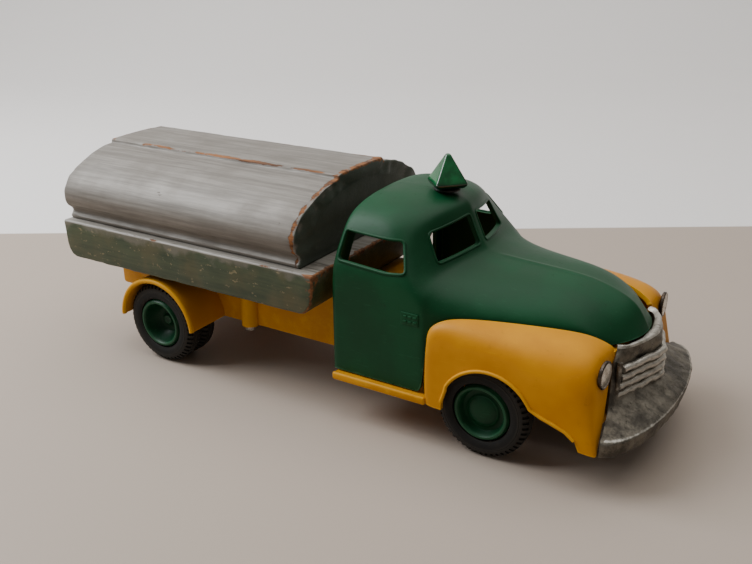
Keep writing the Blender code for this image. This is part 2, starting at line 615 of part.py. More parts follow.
def build_chassis(mat, tool_mat, coll, tools):
    wall = FRAME_WALL
    half = FRAME_HALF_W
    # Inverted channel: a deck with a web down each side, stepped up behind the rear wheels.
    side_view = [(TAIL_X, FRAME_TOP), (TAIL_X, 22.0), (TAIL_X + 2, 20.4), (-94, 20.4), (-90, FRAME_LOW),
                 (2, FRAME_LOW), (10, 14.6), (PANEL_X + 2, 14.6), (PANEL_X + 2, FRAME_TOP)]
    chassis = slab("chassis", side_view, -half, half, "Y", mat, coll)
    hollow = box("hollow_tool", (TAIL_X + wall, wall - half, 0),
                 (PANEL_X, half - wall, FRAME_TOP - wall), tool_mat, tools)
    chassis = combine(chassis, hollow, "DIFFERENCE")
    # Cross members: one at the cab and one ahead of the rear axle, which carry the screws.
    for x in (-94.0, BOSS_X, 6.0):
        web = box("web_tool", (x - 1.2, -half + 1, FRAME_LOW + 1), (x + 1.2, half - 1, FRAME_TOP - 1),
                  mat, tools)
        chassis = combine(chassis, web, "UNION")
    # Front panel behind the mask, up to the bonnet.
    panel = box("panel_tool", (PANEL_X, -18, 16.0), (PANEL_X + 2, 18, 38.0), mat, tools)
    chassis = combine(chassis, panel, "UNION")
    for side in (-1, 1):
        wing = skin("wing_tool", wing_rows(side), 1.6, mat, tools, inward=side)
        arch = slab("arch_tool", arch_outline(), min(side * 30, side * 60), max(side * 30, side * 60),
                    "Y", tool_mat, tools)
        wing = combine(wing, arch, "DIFFERENCE")
        chassis = combine(chassis, wing, "UNION")
        inner = box("brace_tool", (PANEL_X, min(side * 17, side * 27), 18.0),
                    (PANEL_X + 2, max(side * 17, side * 27), 33.0), mat, tools)
        chassis = combine(chassis, inner, "UNION")
        near, far = sorted((side * (half - 1), side * (HALF_W - 1.4)))
        step = box("step_tool", (10.0, near, BOARD_STEP_Z - STEP_THICK), (46.5, far, BOARD_STEP_Z), mat, tools, 0.8)
        chassis = combine(chassis, step, "UNION")
        boss = rod("boss_tool", (BOSS_X, side * BOSS_Y, FRAME_LOW), (BOSS_X, side * BOSS_Y, FRAME_TOP),
                   3.4, mat, tools)
        chassis = combine(chassis, boss, "UNION")
        hole = rod("screw_hole_tool", (BOSS_X, side * BOSS_Y, 10), (BOSS_X, side * BOSS_Y, 40),
                   SCREW_R + GAP, tool_mat, tools, 16)
        chassis = combine(chassis, hole, "DIFFERENCE")
    for x, y, z in cab_screw_places():
        hole = rod("screw_hole_tool", (x, y, z - 6), (x, y, z + 2), SCREW_R + GAP, tool_mat, tools, 16)
        chassis = combine(chassis, hole, "DIFFERENCE")
    for side in (-1, 1):
        hole = rod("screw_hole_tool", (PANEL_X - 6, side * MASK_SCREW_Y, MASK_SCREW_Z),
                   (PANEL_X + 6, side * MASK_SCREW_Y, MASK_SCREW_Z), SCREW_R + GAP, tool_mat, tools, 16)
        chassis = combine(chassis, hole, "DIFFERENCE")
        x, y, z = headlight_place(side)
        way = Matrix.Rotation(side * LAMP_SPLAY, 3, "Z") @ Vector((1, 0, 0))
        at = Vector((x, y, z))
        hole = rod("shank_hole_tool", at - way * 12, at + way * 3, 1.5 + GAP, tool_mat, tools, 16)
        chassis = combine(chassis, hole, "DIFFERENCE")
        seat = rod("seat_tool", at - way * 1.0 - way * GAP, at + way * 6, 4.5 + GAP, tool_mat, tools, 24)
        chassis = combine(chassis, seat, "DIFFERENCE")
    for x in (FRONT_X, REAR_X):
        for side in (-1, 1):
            bearing = rod("bearing_tool", (x, side * (half - 5.0), TYRE_R), (x, side * half, TYRE_R), 3.6,
                          mat, tools)
            chassis = combine(chassis, bearing, "UNION")
        bore = rod("bore_tool", (x, -60, TYRE_R), (x, 60, TYRE_R), BORE_R, tool_mat, tools)
        chassis = combine(chassis, bore, "DIFFERENCE")
    return chassis


def main():
    clear_scene()
    coll = make_collection("toy_tanker_truck")
    tools = make_collection("cutters")
    tool_mat = make_material("tool", (0.5, 0.5, 0.5), 0.5)
    yellow = make_material("yellow_moulding", (0.75, 0.42, 0.01), 0.38)
    green = make_material("green_moulding", (0.01, 0.10, 0.05), 0.35)
    rubber = make_material("black_rubber", (0.02, 0.02, 0.02), 0.8)
    steel = make_material("axle_steel", (0.5, 0.5, 0.5), 0.35, 1.0)
    silver = make_material("silver_paint_on_wood", (0.36, 0.36, 0.37), 0.5)
    deck_paint = make_material("green_paint_on_wood", (0.07, 0.13, 0.09), 0.6)
    pewter = make_material("cast_pewter", (0.16, 0.16, 0.17), 0.5, 0.8)
    bright = make_material("bright_stud", (0.6, 0.6, 0.62), 0.3, 1.0)
    lamp_green = make_material("clear_green_plastic", (0.01, 0.20, 0.10), 0.15)
    black = make_material("black_plastic", (0.02, 0.02, 0.02), 0.5)
    build_tyres(rubber, coll)
    build_hubs(green, coll)
    build_axles(steel, coll)
    build_tank(silver, coll)
    build_deck(deck_paint, tool_mat, coll, tools)
    build_cab(green, tool_mat, coll, tools)
    build_mask(pewter, tool_mat, coll, tools)
    build_headlights(bright, coll)
    build_roof_lamp(lamp_green, black, coll)
    build_screws(steel, coll)
    build_chassis(yellow, tool_mat, coll, tools)
    build_guards(yellow, coll)
    hang_wheels(coll)


main()
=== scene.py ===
# %% [markdown]
# # A toy tanker truck
#
# This lesson dresses a finished mechanical model. The model's solids are loaded as a fixed
# frame, and every visible piece is then modelled round them: a moulded cab and chassis, a
# wooden tank on a painted board, a cast mask, rubber tyres and a small roof lamp.
#
# All sizes are in millimetres and are turned into metres where a mesh is made. +X is
# towards the bonnet, +Y is the truck's left and the ground is at Z = 0.

# %% Load the frame
import math

import bmesh
import bpy
from mathutils import Matrix, Vector, noise
from mathutils.bvhtree import BVHTree
from mathutils.kdtree import KDTree


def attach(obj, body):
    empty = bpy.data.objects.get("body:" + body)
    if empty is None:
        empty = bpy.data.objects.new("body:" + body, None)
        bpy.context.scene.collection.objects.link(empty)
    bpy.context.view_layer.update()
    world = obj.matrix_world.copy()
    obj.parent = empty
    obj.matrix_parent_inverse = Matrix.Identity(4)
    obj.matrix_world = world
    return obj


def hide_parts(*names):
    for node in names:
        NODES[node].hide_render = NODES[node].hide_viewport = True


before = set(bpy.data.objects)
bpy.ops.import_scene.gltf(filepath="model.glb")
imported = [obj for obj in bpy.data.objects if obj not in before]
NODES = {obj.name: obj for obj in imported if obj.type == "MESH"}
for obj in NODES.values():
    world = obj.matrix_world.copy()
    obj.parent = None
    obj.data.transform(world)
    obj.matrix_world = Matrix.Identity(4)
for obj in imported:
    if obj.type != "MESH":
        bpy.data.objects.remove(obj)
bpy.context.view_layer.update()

MM = 0.001
SIDES = (("right", -1), ("left", 1))
print("solids:", len(NODES))

# %% [markdown]
# ## The camera
#
# The truck is seen from its right and a little above, from a third of a metre away, so the
# bonnet end looks larger than the tail. A camera is placed by its position and three axes:
# right, up, and back out of the scene.

# %% The camera
CAMERA_PLACE = Vector((0.17119, -0.26853, 0.16269))
CAMERA_TURN = math.radians(32.19)
CAMERA_RISE = math.radians(21.97)
CAMERA_ROLL = math.radians(-0.57)
LENS = 43.23

back = Vector((
    math.sin(CAMERA_TURN) * math.cos(CAMERA_RISE),
    -math.cos(CAMERA_TURN) * math.cos(CAMERA_RISE),
    math.sin(CAMERA_RISE),
))
level = (-back).cross(Vector((0, 0, 1))).normalized()
upright = level.cross(-back)
right = math.cos(CAMERA_ROLL) * level + math.sin(CAMERA_ROLL) * upright
up = math.cos(CAMERA_ROLL) * upright - math.sin(CAMERA_ROLL) * level
lens = bpy.data.cameras.new("camera")
lens.lens = LENS
lens.sensor_width = 36
camera = bpy.data.objects.new("camera", lens)
bpy.context.scene.collection.objects.link(camera)
camera.matrix_world = Matrix.Translation(CAMERA_PLACE) @ Matrix((right, up, back)).transposed().to_4x4()
bpy.context.scene.camera = camera
print("camera looks along", [round(v, 3) for v in -back])

# %% [markdown]
# ## A small workbench of helpers
#
# Operators act on whatever is selected, so each step starts from a clean selection. The
# helpers below only wrap that habit: start clean, pick one object, apply a modifier, and
# bake a piece's place into its mesh so that its object rests at the origin.

# %% Selecting, applying and placing
def start_clean():
    if bpy.context.mode != "OBJECT":
        bpy.ops.object.mode_set(mode="OBJECT")
    bpy.ops.object.select_all(action="DESELECT")


def pick(obj):
    start_clean()
    obj.select_set(True)
    bpy.context.view_layer.objects.active = obj
    return obj


def named(name):
    obj = bpy.context.active_object
    obj.name = name
    obj.data.name = name
    return obj


def apply_modifier(obj, kind, **settings):
    pick(obj)
    mod = obj.modifiers.new(kind.lower(), kind)
    for key, value in settings.items():
        setattr(mod, key, value)
    bpy.ops.object.modifier_apply(modifier=mod.name)
    return obj


def place_into_mesh(obj):
    pick(obj)
    bpy.ops.object.transform_apply(location=True, rotation=True, scale=True)
    return obj


def smooth(obj, angle=35):
    pick(obj)
    bpy.ops.object.shade_smooth_by_angle(angle=math.radians(angle))
    return obj


def face_outwards(obj):
    pick(obj)
    bpy.ops.object.mode_set(mode="EDIT")
    bpy.ops.mesh.select_all(action="SELECT")
    bpy.ops.mesh.remove_doubles(threshold=0.000001)
    bpy.ops.mesh.normals_make_consistent(inside=False)
    bpy.ops.object.mode_set(mode="OBJECT")
    return obj


def thicken(obj, wall):
    """Give a sheet its wall, inwards from the surface that was drawn."""
    apply_modifier(obj, "SOLIDIFY", thickness=wall * MM, offset=-1.0, use_even_offset=False)
    return face_outwards(obj)


def soften(obj, width, segments, angle):
    """Round the edges that turn by more than an angle."""
    return apply_modifier(obj, "BEVEL", width=width * MM, segments=segments, limit_method="ANGLE",
                          angle_limit=math.radians(angle))


def cut(obj, cutter):
    """Take cutter's shape out of obj, and use the cutter up."""
    apply_modifier(obj, "BOOLEAN", object=cutter, operation="DIFFERENCE", solver="EXACT")
    bpy.data.objects.remove(cutter, do_unlink=True)
    return obj


def join(pieces, name):
    """Make several pieces one object."""
    start_clean()
    for piece in pieces:
        piece.select_set(True)
    bpy.context.view_layer.objects.active = pieces[0]
    bpy.ops.object.join()
    return named(name)


def copy_of(obj, name, matrix=None):
    """A copy with its own mesh, moved or turned by a matrix."""
    twin = obj.copy()
    twin.data = obj.data.copy()
    twin.name = name
    twin.data.name = name
    bpy.context.scene.collection.objects.link(twin)
    if matrix is not None:
        twin.data.transform(matrix)
        if matrix.to_3x3().determinant() < 0:
            twin.data.flip_normals()
    return twin


# %% Three ways to start a solid
def block(name, low, high, bevel=0.0, segments=3):
    """A box from corner to corner, with rounded edges."""
    low = Vector(low) * MM
    high = Vector(high) * MM
    start_clean()
    bpy.ops.mesh.primitive_cube_add(size=1, location=(low + high) / 2)
    obj = named(name)
    obj.scale = high - low
    place_into_mesh(obj)
    if bevel:
        apply_modifier(obj, "BEVEL", width=bevel * MM, segments=segments, limit_method="ANGLE")
    return obj


def span(side, inner, outer):
    """Y from inner to outer on one side of the truck, the smaller value first."""
    return sorted((side * inner, side * outer))


def turned(name, rings, steps, closed_loop=False):
    """A piece turned on the Z axis, drawn ring by ring: each ring is (radius, height)."""
    start_clean()
    radius, height = rings[0]
    fill = "NOTHING" if closed_loop else "NGON"
    bpy.ops.mesh.primitive_circle_add(vertices=steps, radius=radius * MM, fill_type=fill,
                                      location=(0, 0, height * MM))
    obj = place_into_mesh(named(name))
    bpy.ops.object.mode_set(mode="EDIT")
    bpy.ops.mesh.select_all(action="SELECT")
    for (old, below), (new, above) in zip(rings, rings[1:]):
        bpy.ops.mesh.extrude_region_move(TRANSFORM_OT_translate={"value": (0, 0, (above - below) * MM)})
        share = max(new, 0.001) / old
        bpy.ops.transform.resize(value=(share, share, 1), center_override=(0, 0, above * MM))
    if not closed_loop and rings[-1][0] < 0.01:
        bpy.ops.mesh.merge(type="CENTER")
    bpy.ops.object.mode_set(mode="OBJECT")
    return face_outwards(obj)


def along_y(side, centre):
    """Turns a piece drawn on Z to point out of one side of the truck, at a centre."""
    return Matrix.Translation(Vector(centre) * MM) @ Matrix.Rotation(-side * math.pi / 2, 4, "X")


def drawn(name, outline, low, high, axis, cuts=0):
    """A flat outline pushed along an axis: a filled circle whose points are moved to the
    outline, then extruded, with cuts across its length."""
    start_clean()
    bpy.ops.mesh.primitive_circle_add(vertices=len(outline), fill_type="NGON", radius=1)
    obj = named(name)
    for vertex, (a, b) in zip(obj.data.vertices, outline):
        spots = {"X": (low, a, b), "Y": (a, low, b), "Z": (a, b, low)}
        vertex.co = Vector(spots[axis]) * MM
    way = Vector([axis == letter for letter in "XYZ"])
    bpy.ops.object.mode_set(mode="EDIT")
    bpy.ops.mesh.select_all(action="SELECT")
    pieces = cuts + 1
    for _ in range(pieces):
        bpy.ops.mesh.extrude_region_move(TRANSFORM_OT_translate={"value": way * (high - low) / pieces * MM})
    bpy.ops.object.mode_set(mode="OBJECT")
    return face_outwards(obj)


def sheet(name, rows, levels, mirrored=False):
    """A curved sheet through rows of points: a flat grid whose points are moved to the
    sections, then rounded by subdivision."""
    start_clean()
    steps = {"x_subdivisions": len(rows[0]) - 1, "y_subdivisions": len(rows) - 1}
    bpy.ops.mesh.primitive_grid_add(size=1, **steps)
    obj = named(name)
    spots = [point for row in rows for point in row]
    for vertex, spot in zip(obj.data.vertices, spots):
        vertex.co = Vector(spot) * MM
    if mirrored:
        apply_modifier(obj, "MIRROR", use_axis=(False, True, False), use_clip=True, merge_threshold=0.00005)
    face_outwards(obj)
    return apply_modifier(obj, "SUBSURF", levels=levels, render_levels=levels)


def surface_of(obj):
    """The piece's faces as they are now, for rays to be cast at."""
    faces = [tuple(polygon.vertices) for polygon in obj.data.polygons]
    return BVHTree.FromPolygons([vertex.co.copy() for vertex in obj.data.vertices], faces)


print("helpers ready")

# %% [markdown]
# ## Materials as arithmetic
#
# A procedural finish is a sum of simple signals: noise, stretched noise, a soft step, a
# mark near an edge. Written as node links that sum is hard to read, so one small class
# wraps a socket and lets it be added and multiplied, and a recipe adds any other node.

# %% Shader maths
class Signal:
    """One output socket, which can be used like a number."""

    def __init__(self, recipe, socket):
        self.recipe = recipe
        self.socket = socket

    def maths(self, operation, *parts):
        return self.recipe.node("ShaderNodeMath", {"operation": operation}, dict(enumerate(parts)))

    def __add__(self, other):
        return self.maths("ADD", self, other)

    def __radd__(self, other):
        return self.maths("ADD", other, self)

    def __sub__(self, other):
        return self.maths("SUBTRACT", self, other)

    def __rsub__(self, other):
        return self.maths("SUBTRACT", other, self)

    def __mul__(self, other):
        return self.maths("MULTIPLY", self, other)

    def __rmul__(self, other):
        return self.maths("MULTIPLY", other, self)


class Recipe:
    """A material while its nodes are being added."""

    def __init__(self, name):
        self.material = bpy.data.materials.new(name)
        self.material.use_nodes = True
        self.tree = self.material.node_tree
        self.shader = self.tree.nodes["Principled BSDF"]

    def node(self, kind, settings=None, values=None, output=0):
        node = self.tree.nodes.new(kind)
        for key, value in (settings or {}).items():
            setattr(node, key, value)
        for key, value in (values or {}).items():
            self.feed(node.inputs[key], value)
        return Signal(self, node.outputs[output])

    def feed(self, socket, value):
        if isinstance(value, Signal):
            self.tree.links.new(value.socket, socket)
        else:
            socket.default_value = value

    def spot(self, stretch=(1, 1, 1), shift=(0, 0, 0)):
        """Object coordinates, scaled in each direction."""
        place = self.node("ShaderNodeTexCoord", output="Object")
        return self.node("ShaderNodeMapping", values={"Vector": place, "Scale": stretch, "Location": shift})

    def along(self, axis):
        """One object coordinate, in millimetres."""
        place = self.node("ShaderNodeTexCoord", output="Object")
        return self.node("ShaderNodeSeparateXYZ", values={"Vector": place}, output=axis) * 1000.0

    def noise(self, scale, detail=3.0, rough=0.55, stretch=(1, 1, 1), shift=(0, 0, 0)):
        """Smooth noise. scale is waves in a metre."""
        return self.node("ShaderNodeTexNoise", values={
            "Vector": self.spot(stretch, shift), "Scale": scale, "Detail": detail, "Roughness": rough})

    def step(self, signal, low, high):
        """0 below low, 1 above high, smooth between them."""
        return self.node("ShaderNodeMapRange", {"interpolation_type": "SMOOTHSTEP"}, {
            "Value": signal, "From Min": low, "From Max": high, "To Min": 0.0, "To Max": 1.0})

    def mark(self, name):
        """A number stored on the mesh's points."""
        return self.node("ShaderNodeAttribute", {"attribute_name": name}, output="Fac")

    def blend(self, amount, first, second):
        """first where amount is 0, second where it is 1."""
        node = self.tree.nodes.new("ShaderNodeMix")
        node.data_type = "RGBA"
        self.feed(node.inputs[0], amount)
        for socket, value in ((node.inputs[6], first), (node.inputs[7], second)):
            self.feed(socket, value if isinstance(value, Signal) else (*value, 1.0))
        return Signal(self, node.outputs[2])

    def bump(self, height, depth):
        """Surface relief. depth is the relief's height in millimetres."""
        return self.node("ShaderNodeBump", values={"Height": height, "Strength": 1.0, "Distance": depth * MM})

    def finish(self, colour, roughness, normal=None, **fixed):
        self.feed(self.shader.inputs["Base Color"], colour if isinstance(colour, Signal) else (*colour, 1.0))
        self.feed(self.shader.inputs["Roughness"], roughness)
        if normal is not None:
            self.feed(self.shader.inputs["Normal"], normal)
        for key, value in fixed.items():
            self.feed(self.shader.inputs[key.replace("_", " ")], value)
        return self.material


def paint(red, green, blue):
    """A colour as it is picked, turned into the light values that Blender mixes."""
    parts = [value / 255 for value in (red, green, blue)]
    return tuple(((v + 0.055) / 1.055) ** 2.4 if v * 255 > 10 else v / 12.92 for v in parts)


def dress(obj, material, body="root", replaces=()):
    """Give a piece its finish, its body and the solids that it stands for."""
    obj.data.materials.clear()
    obj.data.materials.append(material)
    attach(obj, body)
    if replaces:
        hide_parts(*replaces)
    print(f"{obj.name}: {len(obj.data.polygons)} faces on {body}")
    return obj


# %% Marks near edges
def mark_edges(obj, angle=35, reach=1.5, name="wear_and_painted_light"):
    """Store 1 on the points at sharp outward edges, fading to 0 at reach from them."""
    mesh = bmesh.new()
    mesh.from_mesh(obj.data)
    sharp = [e for e in mesh.edges if len(e.link_faces) == 2
             and e.calc_face_angle_signed(0.0) > math.radians(angle)]
    spots = []
    for edge in sharp:
        a, b = (v.co for v in edge.verts)
        count = max(1, int((b - a).length / (0.5 * MM)))
        spots += [a.lerp(b, i / count) for i in range(count + 1)]
    mesh.free()
    tree = KDTree(max(1, len(spots)))
    for i, spot in enumerate(spots):
        tree.insert(spot, i)
    tree.balance()
    store = obj.data.attributes.new(name, "FLOAT", "POINT")
    for i, vertex in enumerate(obj.data.vertices):
        gap = tree.find(vertex.co)[2] if spots else None
        store.data[i].value = 0.0 if gap is None else max(0.0, 1.0 - gap / (reach * MM))
    print(f"{obj.name}: {len(sharp)} sharp edges marked")
    return obj


def mark_points(obj, amount, name="wear_and_painted_light"):
    """Store amount(point, mark) on each point, from its place in millimetres and its mark."""
    marks = obj.data.attributes.get(name) or obj.data.attributes.new(name, "FLOAT", "POINT")
    for vertex, mark in zip(obj.data.vertices, marks.data):
        mark.value = amount(vertex.co / MM, mark.value)
    return obj


# %% Uneven surfaces
def roughen(obj, depth, wave, seed, where=None):
    """Move the points in and out by smooth noise: depth is in millimetres, wave is the
    distance between humps, and where(point) gives 0 to 1."""
    pick(obj)
    shift = Vector((seed * 7.1, seed * 3.3, seed * 5.7))
    mesh = obj.data
    normals = [v.normal.copy() for v in mesh.vertices]
    for vertex, normal in zip(mesh.vertices, normals):
        spot = vertex.co / MM
        share = 1.0 if where is None else where(spot)
        if share > 0:
            vertex.co += normal * (noise.noise(spot / wave + shift) * depth * share * MM)
    mesh.update()
    return obj


def ramp(value, low, high):
    """0 below low, 1 above high, smooth between them."""
    t = min(1.0, max(0.0, (value - low) / (high - low)))
    return t * t * (3 - 2 * t)


# %% [markdown]
# ## The finishes
#
# The cab is dark green moulded plastic: nearly even in colour, with a faint grain that
# breaks up the highlights, small pale scuffs on its edges and a little dust.

# %% Moulded plastic
def moulded(name, deep, light, scuff, gloss, edge=0.5, grime=(0.02, 0.015, 0.01), grime_amount=0.25):
    """Moulded plastic: two close tones, fine grain, scuffed edges and thin grime."""
    r = Recipe(name)
    cloud = r.step(r.noise(45, 3), 0.35, 0.7)
    colour = r.blend(cloud, deep, light)
    specks = r.step(r.noise(420, 5, 0.7), 0.60, 0.74)
    colour = r.blend(specks * grime_amount, colour, grime)
    worn = r.step(r.mark("wear_and_painted_light") + (r.noise(260, 4, 0.7) - 0.5) * 1.1, 0.62, 0.95)
    colour = r.blend(worn * edge, colour, scuff)
    scratches = r.step(r.noise(160, 2, 0.5, stretch=(1, 9, 9)), 0.66, 0.70)
    colour = r.blend(scratches * 0.12, colour, scuff)
    grain = r.noise(2600, 2) * 0.35 + r.noise(300, 3) * 0.9
    rough = gloss + cloud * 0.08 + specks * 0.15 + scratches * 0.1
    return r.finish(colour, rough, r.bump(grain, 0.045), Specular_IOR_Level=0.22)


GREEN = moulded("green_moulding", paint(0, 58, 30), paint(2, 68, 37), paint(60, 108, 78), 0.42)
HUB_GREEN = moulded("hub_green", paint(0, 48, 25), paint(2, 58, 31), paint(60, 112, 80), 0.4, 0.3)
YELLOW = moulded("yellow_moulding", paint(190, 124, 0), paint(206, 140, 0), paint(226, 172, 24), 0.46,
                 0.35, (0.20, 0.07, 0.004), 0.22)
print("moulded plastics mixed")

# %% [markdown]
# The tyres are soft black rubber, greyer where dust has stayed in the surface. The small
# metal parts are plain steel, and the studs at the front are bright.

# %% Rubber and metal
def rubber():
    r = Recipe("black_rubber")
    dust = r.step(r.noise(330, 5, 0.7), 0.48, 0.75)
    colour = r.blend(dust * 0.45, paint(16, 16, 15), paint(58, 52, 44))
    colour = r.blend(r.step(r.mark("wear_and_painted_light"), 0.3, 1.0) * 0.35, colour, paint(62, 58, 52))
    grain = r.noise(1800, 3, 0.7) + r.noise(500, 2) * 0.6
    return r.finish(colour, 0.72 + dust * 0.2, r.bump(grain, 0.09), Specular_IOR_Level=0.35)


def metal(name, tone, dark, gloss, bump_depth=0.03):
    r = Recipe(name)
    tarnish = r.step(r.noise(600, 4, 0.65), 0.4, 0.7)
    colour = r.blend(r.mark("rim") * 0.9, r.blend(tarnish, tone, dark), paint(52, 36, 22))
    return r.finish(colour, gloss + tarnish * 0.22,
                    r.bump(r.noise(1500, 3), bump_depth), Metallic=1.0)


RUBBER = rubber()
STEEL = metal("axle_steel", paint(165, 162, 156), paint(96, 88, 78), 0.3)
BRIGHT = metal("bright_stud", paint(214, 212, 206), paint(150, 140, 124), 0.24)


def black_plastic():
    r = Recipe("black_plastic")
    cloud = r.step(r.noise(500, 4), 0.4, 0.7)
    return r.finish(r.blend(cloud, paint(14, 15, 14), paint(36, 36, 34)), 0.4 + cloud * 0.2,
                    r.bump(r.noise(1500, 3), 0.03))


def lamp_plastic():
    """Glossy green plastic, with painted shade along its sloping edges and round its foot."""
    r = Recipe("lamp_plastic")
    cloud = r.step(r.noise(240, 3), 0.35, 0.7)
    colour = r.blend(cloud, paint(4, 82, 44), paint(10, 112, 60))
    # painted shade: darker along the pyramid's sloping edges and round its foot
    colour = r.blend(r.step(r.mark("wear_and_painted_light"), 0.35, 0.95), colour, paint(3, 30, 18))
    return r.finish(colour, 0.16 + cloud * 0.08, r.bump(r.noise(420, 2), 0.06), Coat_Weight=0.5)


BLACK = black_plastic()
LAMP_GREEN = lamp_plastic()
print("rubber, metal and lamp finishes mixed")

# %% [markdown]
# The tank is wood under silver paint. Its grain runs the length of the tank, so every
# pattern is noise that is squeezed across the grain and stretched along it. The paint has
# worn through to orange-brown wood along the edges, most of all at the front.

# %% Painted wood
DECK_FRONT = 4.0
TANK_FRONT = -3.4
WOOD_LIGHT = paint(150, 98, 56)
WOOD_DARK = paint(78, 48, 28)


def grain_of(r, scale=900, shift=(0, 0, 0)):
    """Wood grain that runs along X."""
    fine = r.noise(scale, 4, 0.65, (0.045, 1, 1), shift)
    broad = r.noise(scale * 0.28, 3, 0.6, (0.06, 1, 1), shift)
    return fine * 0.6 + broad * 0.5


def bare_wood(r):
    return r.blend(r.step(r.noise(700, 4, 0.6, (0.06, 1, 1)), 0.3, 0.7), WOOD_DARK, WOOD_LIGHT)


def silver_paint():
    r = Recipe("silver_paint_on_wood")
    grain = grain_of(r)
    patches = r.step(r.noise(60, 4, 0.6), 0.35, 0.7)
    colour = r.blend(r.step(grain, 0.36, 0.74), paint(106, 101, 94), paint(143, 138, 131))
    colour = r.blend(patches * 0.4, colour, paint(108, 101, 93))
    nicks = r.step(r.noise(430, 5, 0.72, (0.35, 1, 1)), 0.68, 0.72)
    colour = r.blend(nicks * 0.5, colour, paint(78, 66, 54))
    # painted shade: the tank's front face, behind the cab, is darkened to a green-grey with a cast from the
    # cab
    front = r.step(r.along(0), TANK_FRONT - 0.7, TANK_FRONT - 0.3)
    colour = r.blend(front * 0.9, colour, paint(58, 68, 58))
    ragged = (r.noise(210, 5, 0.7, (0.4, 1, 1)) - 0.5) * 1.7
    bare = r.step(r.mark("wear_and_painted_light") + ragged, 0.78, 0.90)
    colour = r.blend(bare, colour, bare_wood(r))
    rough = 0.54 + patches * 0.12 + bare * 0.25
    height = grain * 0.7 - nicks * 0.5 - bare * 0.8 + r.noise(2400, 2) * 0.15
    metal_share = (1.0 - bare) * 0.2
    return r.finish(colour, rough, r.bump(height, 0.16), Metallic=metal_share)


def deck_paint():
    """Green paint on the board's sides, silver on its top, pale chips where it has gone."""
    r = Recipe("deck_paint")
    grain = grain_of(r, 1100, (3, 1, 2))
    colour = r.blend(r.step(grain, 0.4, 0.72), paint(46, 60, 40), paint(68, 78, 52))
    dull = r.step(r.noise(90, 4), 0.4, 0.7)
    colour = r.blend(dull * 0.6, colour, paint(92, 84, 54))
    chips = r.step(r.noise(420, 5, 0.75, (0.6, 1, 1)) + r.mark("wear_and_painted_light") * 0.05, 0.645, 0.68)
    faded = r.step(r.along(2) + (r.noise(110, 4) - 0.5) * 16.0, 49.0, 52.5)
    colour = r.blend(faded * 0.7, colour, paint(112, 106, 94))
    colour = r.blend(chips * 0.7, colour, paint(146, 132, 96))
    top = r.step(r.along(2), 51.0, 51.5)
    silver = r.blend(r.step(grain, 0.36, 0.74), paint(112, 107, 99), paint(158, 153, 145))
    streaks = r.step(r.noise(260, 4, 0.7, (0.08, 1, 1)), 0.58, 0.64)
    silver = r.blend(streaks * 0.7, silver, paint(66, 60, 50))
    colour = r.blend(top, colour, silver)
    corner = r.step(r.along(0), DECK_FRONT - 7.0, DECK_FRONT - 1.0)
    ragged = (r.noise(230, 5, 0.7, (0.6, 1, 1)) - 0.5) * 1.6
    bare = r.step(r.mark("wear_and_painted_light") * (0.72 + corner * 0.4) + ragged, 0.82, 0.94)
    colour = r.blend(bare, colour, bare_wood(r))
    height = grain - chips * 0.5 - bare * 0.7
    return r.finish(colour, 0.5 + chips * 0.2 + bare * 0.25, r.bump(height, 0.14))


SILVER = silver_paint()
DECK = deck_paint()
print("painted wood mixed")

# %% [markdown]
# The mask is cast soft metal. It has gone dark and dull, and its raised ridges and bars are
# painted bright as highlights, with some rubbed metal, so the same edge mark that wears the paint elsewhere
# lightens it here.

# %% Cast metal
def cast_metal():
    r = Recipe("cast_metal")
    cloud = r.step(r.noise(150, 5, 0.7), 0.38, 0.66)
    colour = r.blend(cloud, paint(72, 68, 61), paint(122, 116, 104))
    pits = r.step(r.noise(900, 5, 0.75), 0.58, 0.70)
    colour = r.blend(pits * 0.7, colour, paint(34, 30, 25))
    # painted highlight with some rubbed metal: the marked ridges and bars are lightened
    highlight_and_rubbing = r.step(r.mark("wear_and_painted_light") + (r.noise(420, 5, 0.7) - 0.5) * 0.9, 0.45, 0.85)
    colour = r.blend(highlight_and_rubbing, colour, paint(196, 192, 182))
    height = r.noise(700, 5, 0.7) - pits * 0.6 + r.noise(2200, 3) * 0.25
    return r.finish(colour, 0.5 + pits * 0.2 - highlight_and_rubbing * 0.12, r.bump(height, 0.22), Metallic=0.75)


CAST = cast_metal()
print("cast metal mixed")

# %% [markdown]
# ## Wheels
#
# A tyre is a ring of rubber. Its section is drawn once round the axle: a circle is
# extruded edge by edge through the section's points until it meets itself. The tread is
# then cut by insetting every second face of the shoulders.

# %% Tyre sizes
TYRE_R = 16.0
TYRE_W = 7.6
FRONT_X = 65.3
REAR_X = -72.4
FRONT_FACE_Y = 39.0
REAR_FACE_Y = 41.2
TWIN_PITCH = 8.2
TYRE_STEPS = 96
TREAD_GAP = 0.08
TREAD_DEPTH = 0.5

half_section = [
    (10.1, 2.6), (10.2, 3.2), (10.8, 3.65), (12.0, 3.8), (13.1, 3.74), (13.3, 3.58), (13.5, 3.68),
    (14.4, 3.4), (15.1, 2.95), (15.75, 2.3), (15.98, 1.55), (16.0, 1.15), (15.45, 1.0), (15.45, 0.7),
    (16.0, 0.55),
]
section = half_section + [(r, -out) for r, out in reversed(half_section)]


# %% Turn one tyre and cut its tread
def make_tyre(name):
    tyre = turned(name, section + section[:1], TYRE_STEPS, closed_loop=True)
    pick(tyre)
    bpy.ops.object.mode_set(mode="EDIT")
    bpy.ops.mesh.select_mode(type="FACE")
    bpy.ops.object.mode_set(mode="OBJECT")
    for polygon in tyre.data.polygons:
        x, y, z = polygon.center / MM
        shoulder = 1.6 < abs(z) < 3.2 and math.hypot(x, y) > 14.6
        sector = int((math.atan2(y, x) / math.tau + 1) * TYRE_STEPS)
        polygon.select = shoulder and sector % 2 == 0
    bpy.ops.object.mode_set(mode="EDIT")
    bpy.ops.mesh.inset(thickness=TREAD_GAP * MM, depth=-TREAD_DEPTH * MM, use_individual=False)
    bpy.ops.object.mode_set(mode="OBJECT")
    mark_edges(tyre, 30, 0.7)
    return smooth(tyre, 32)


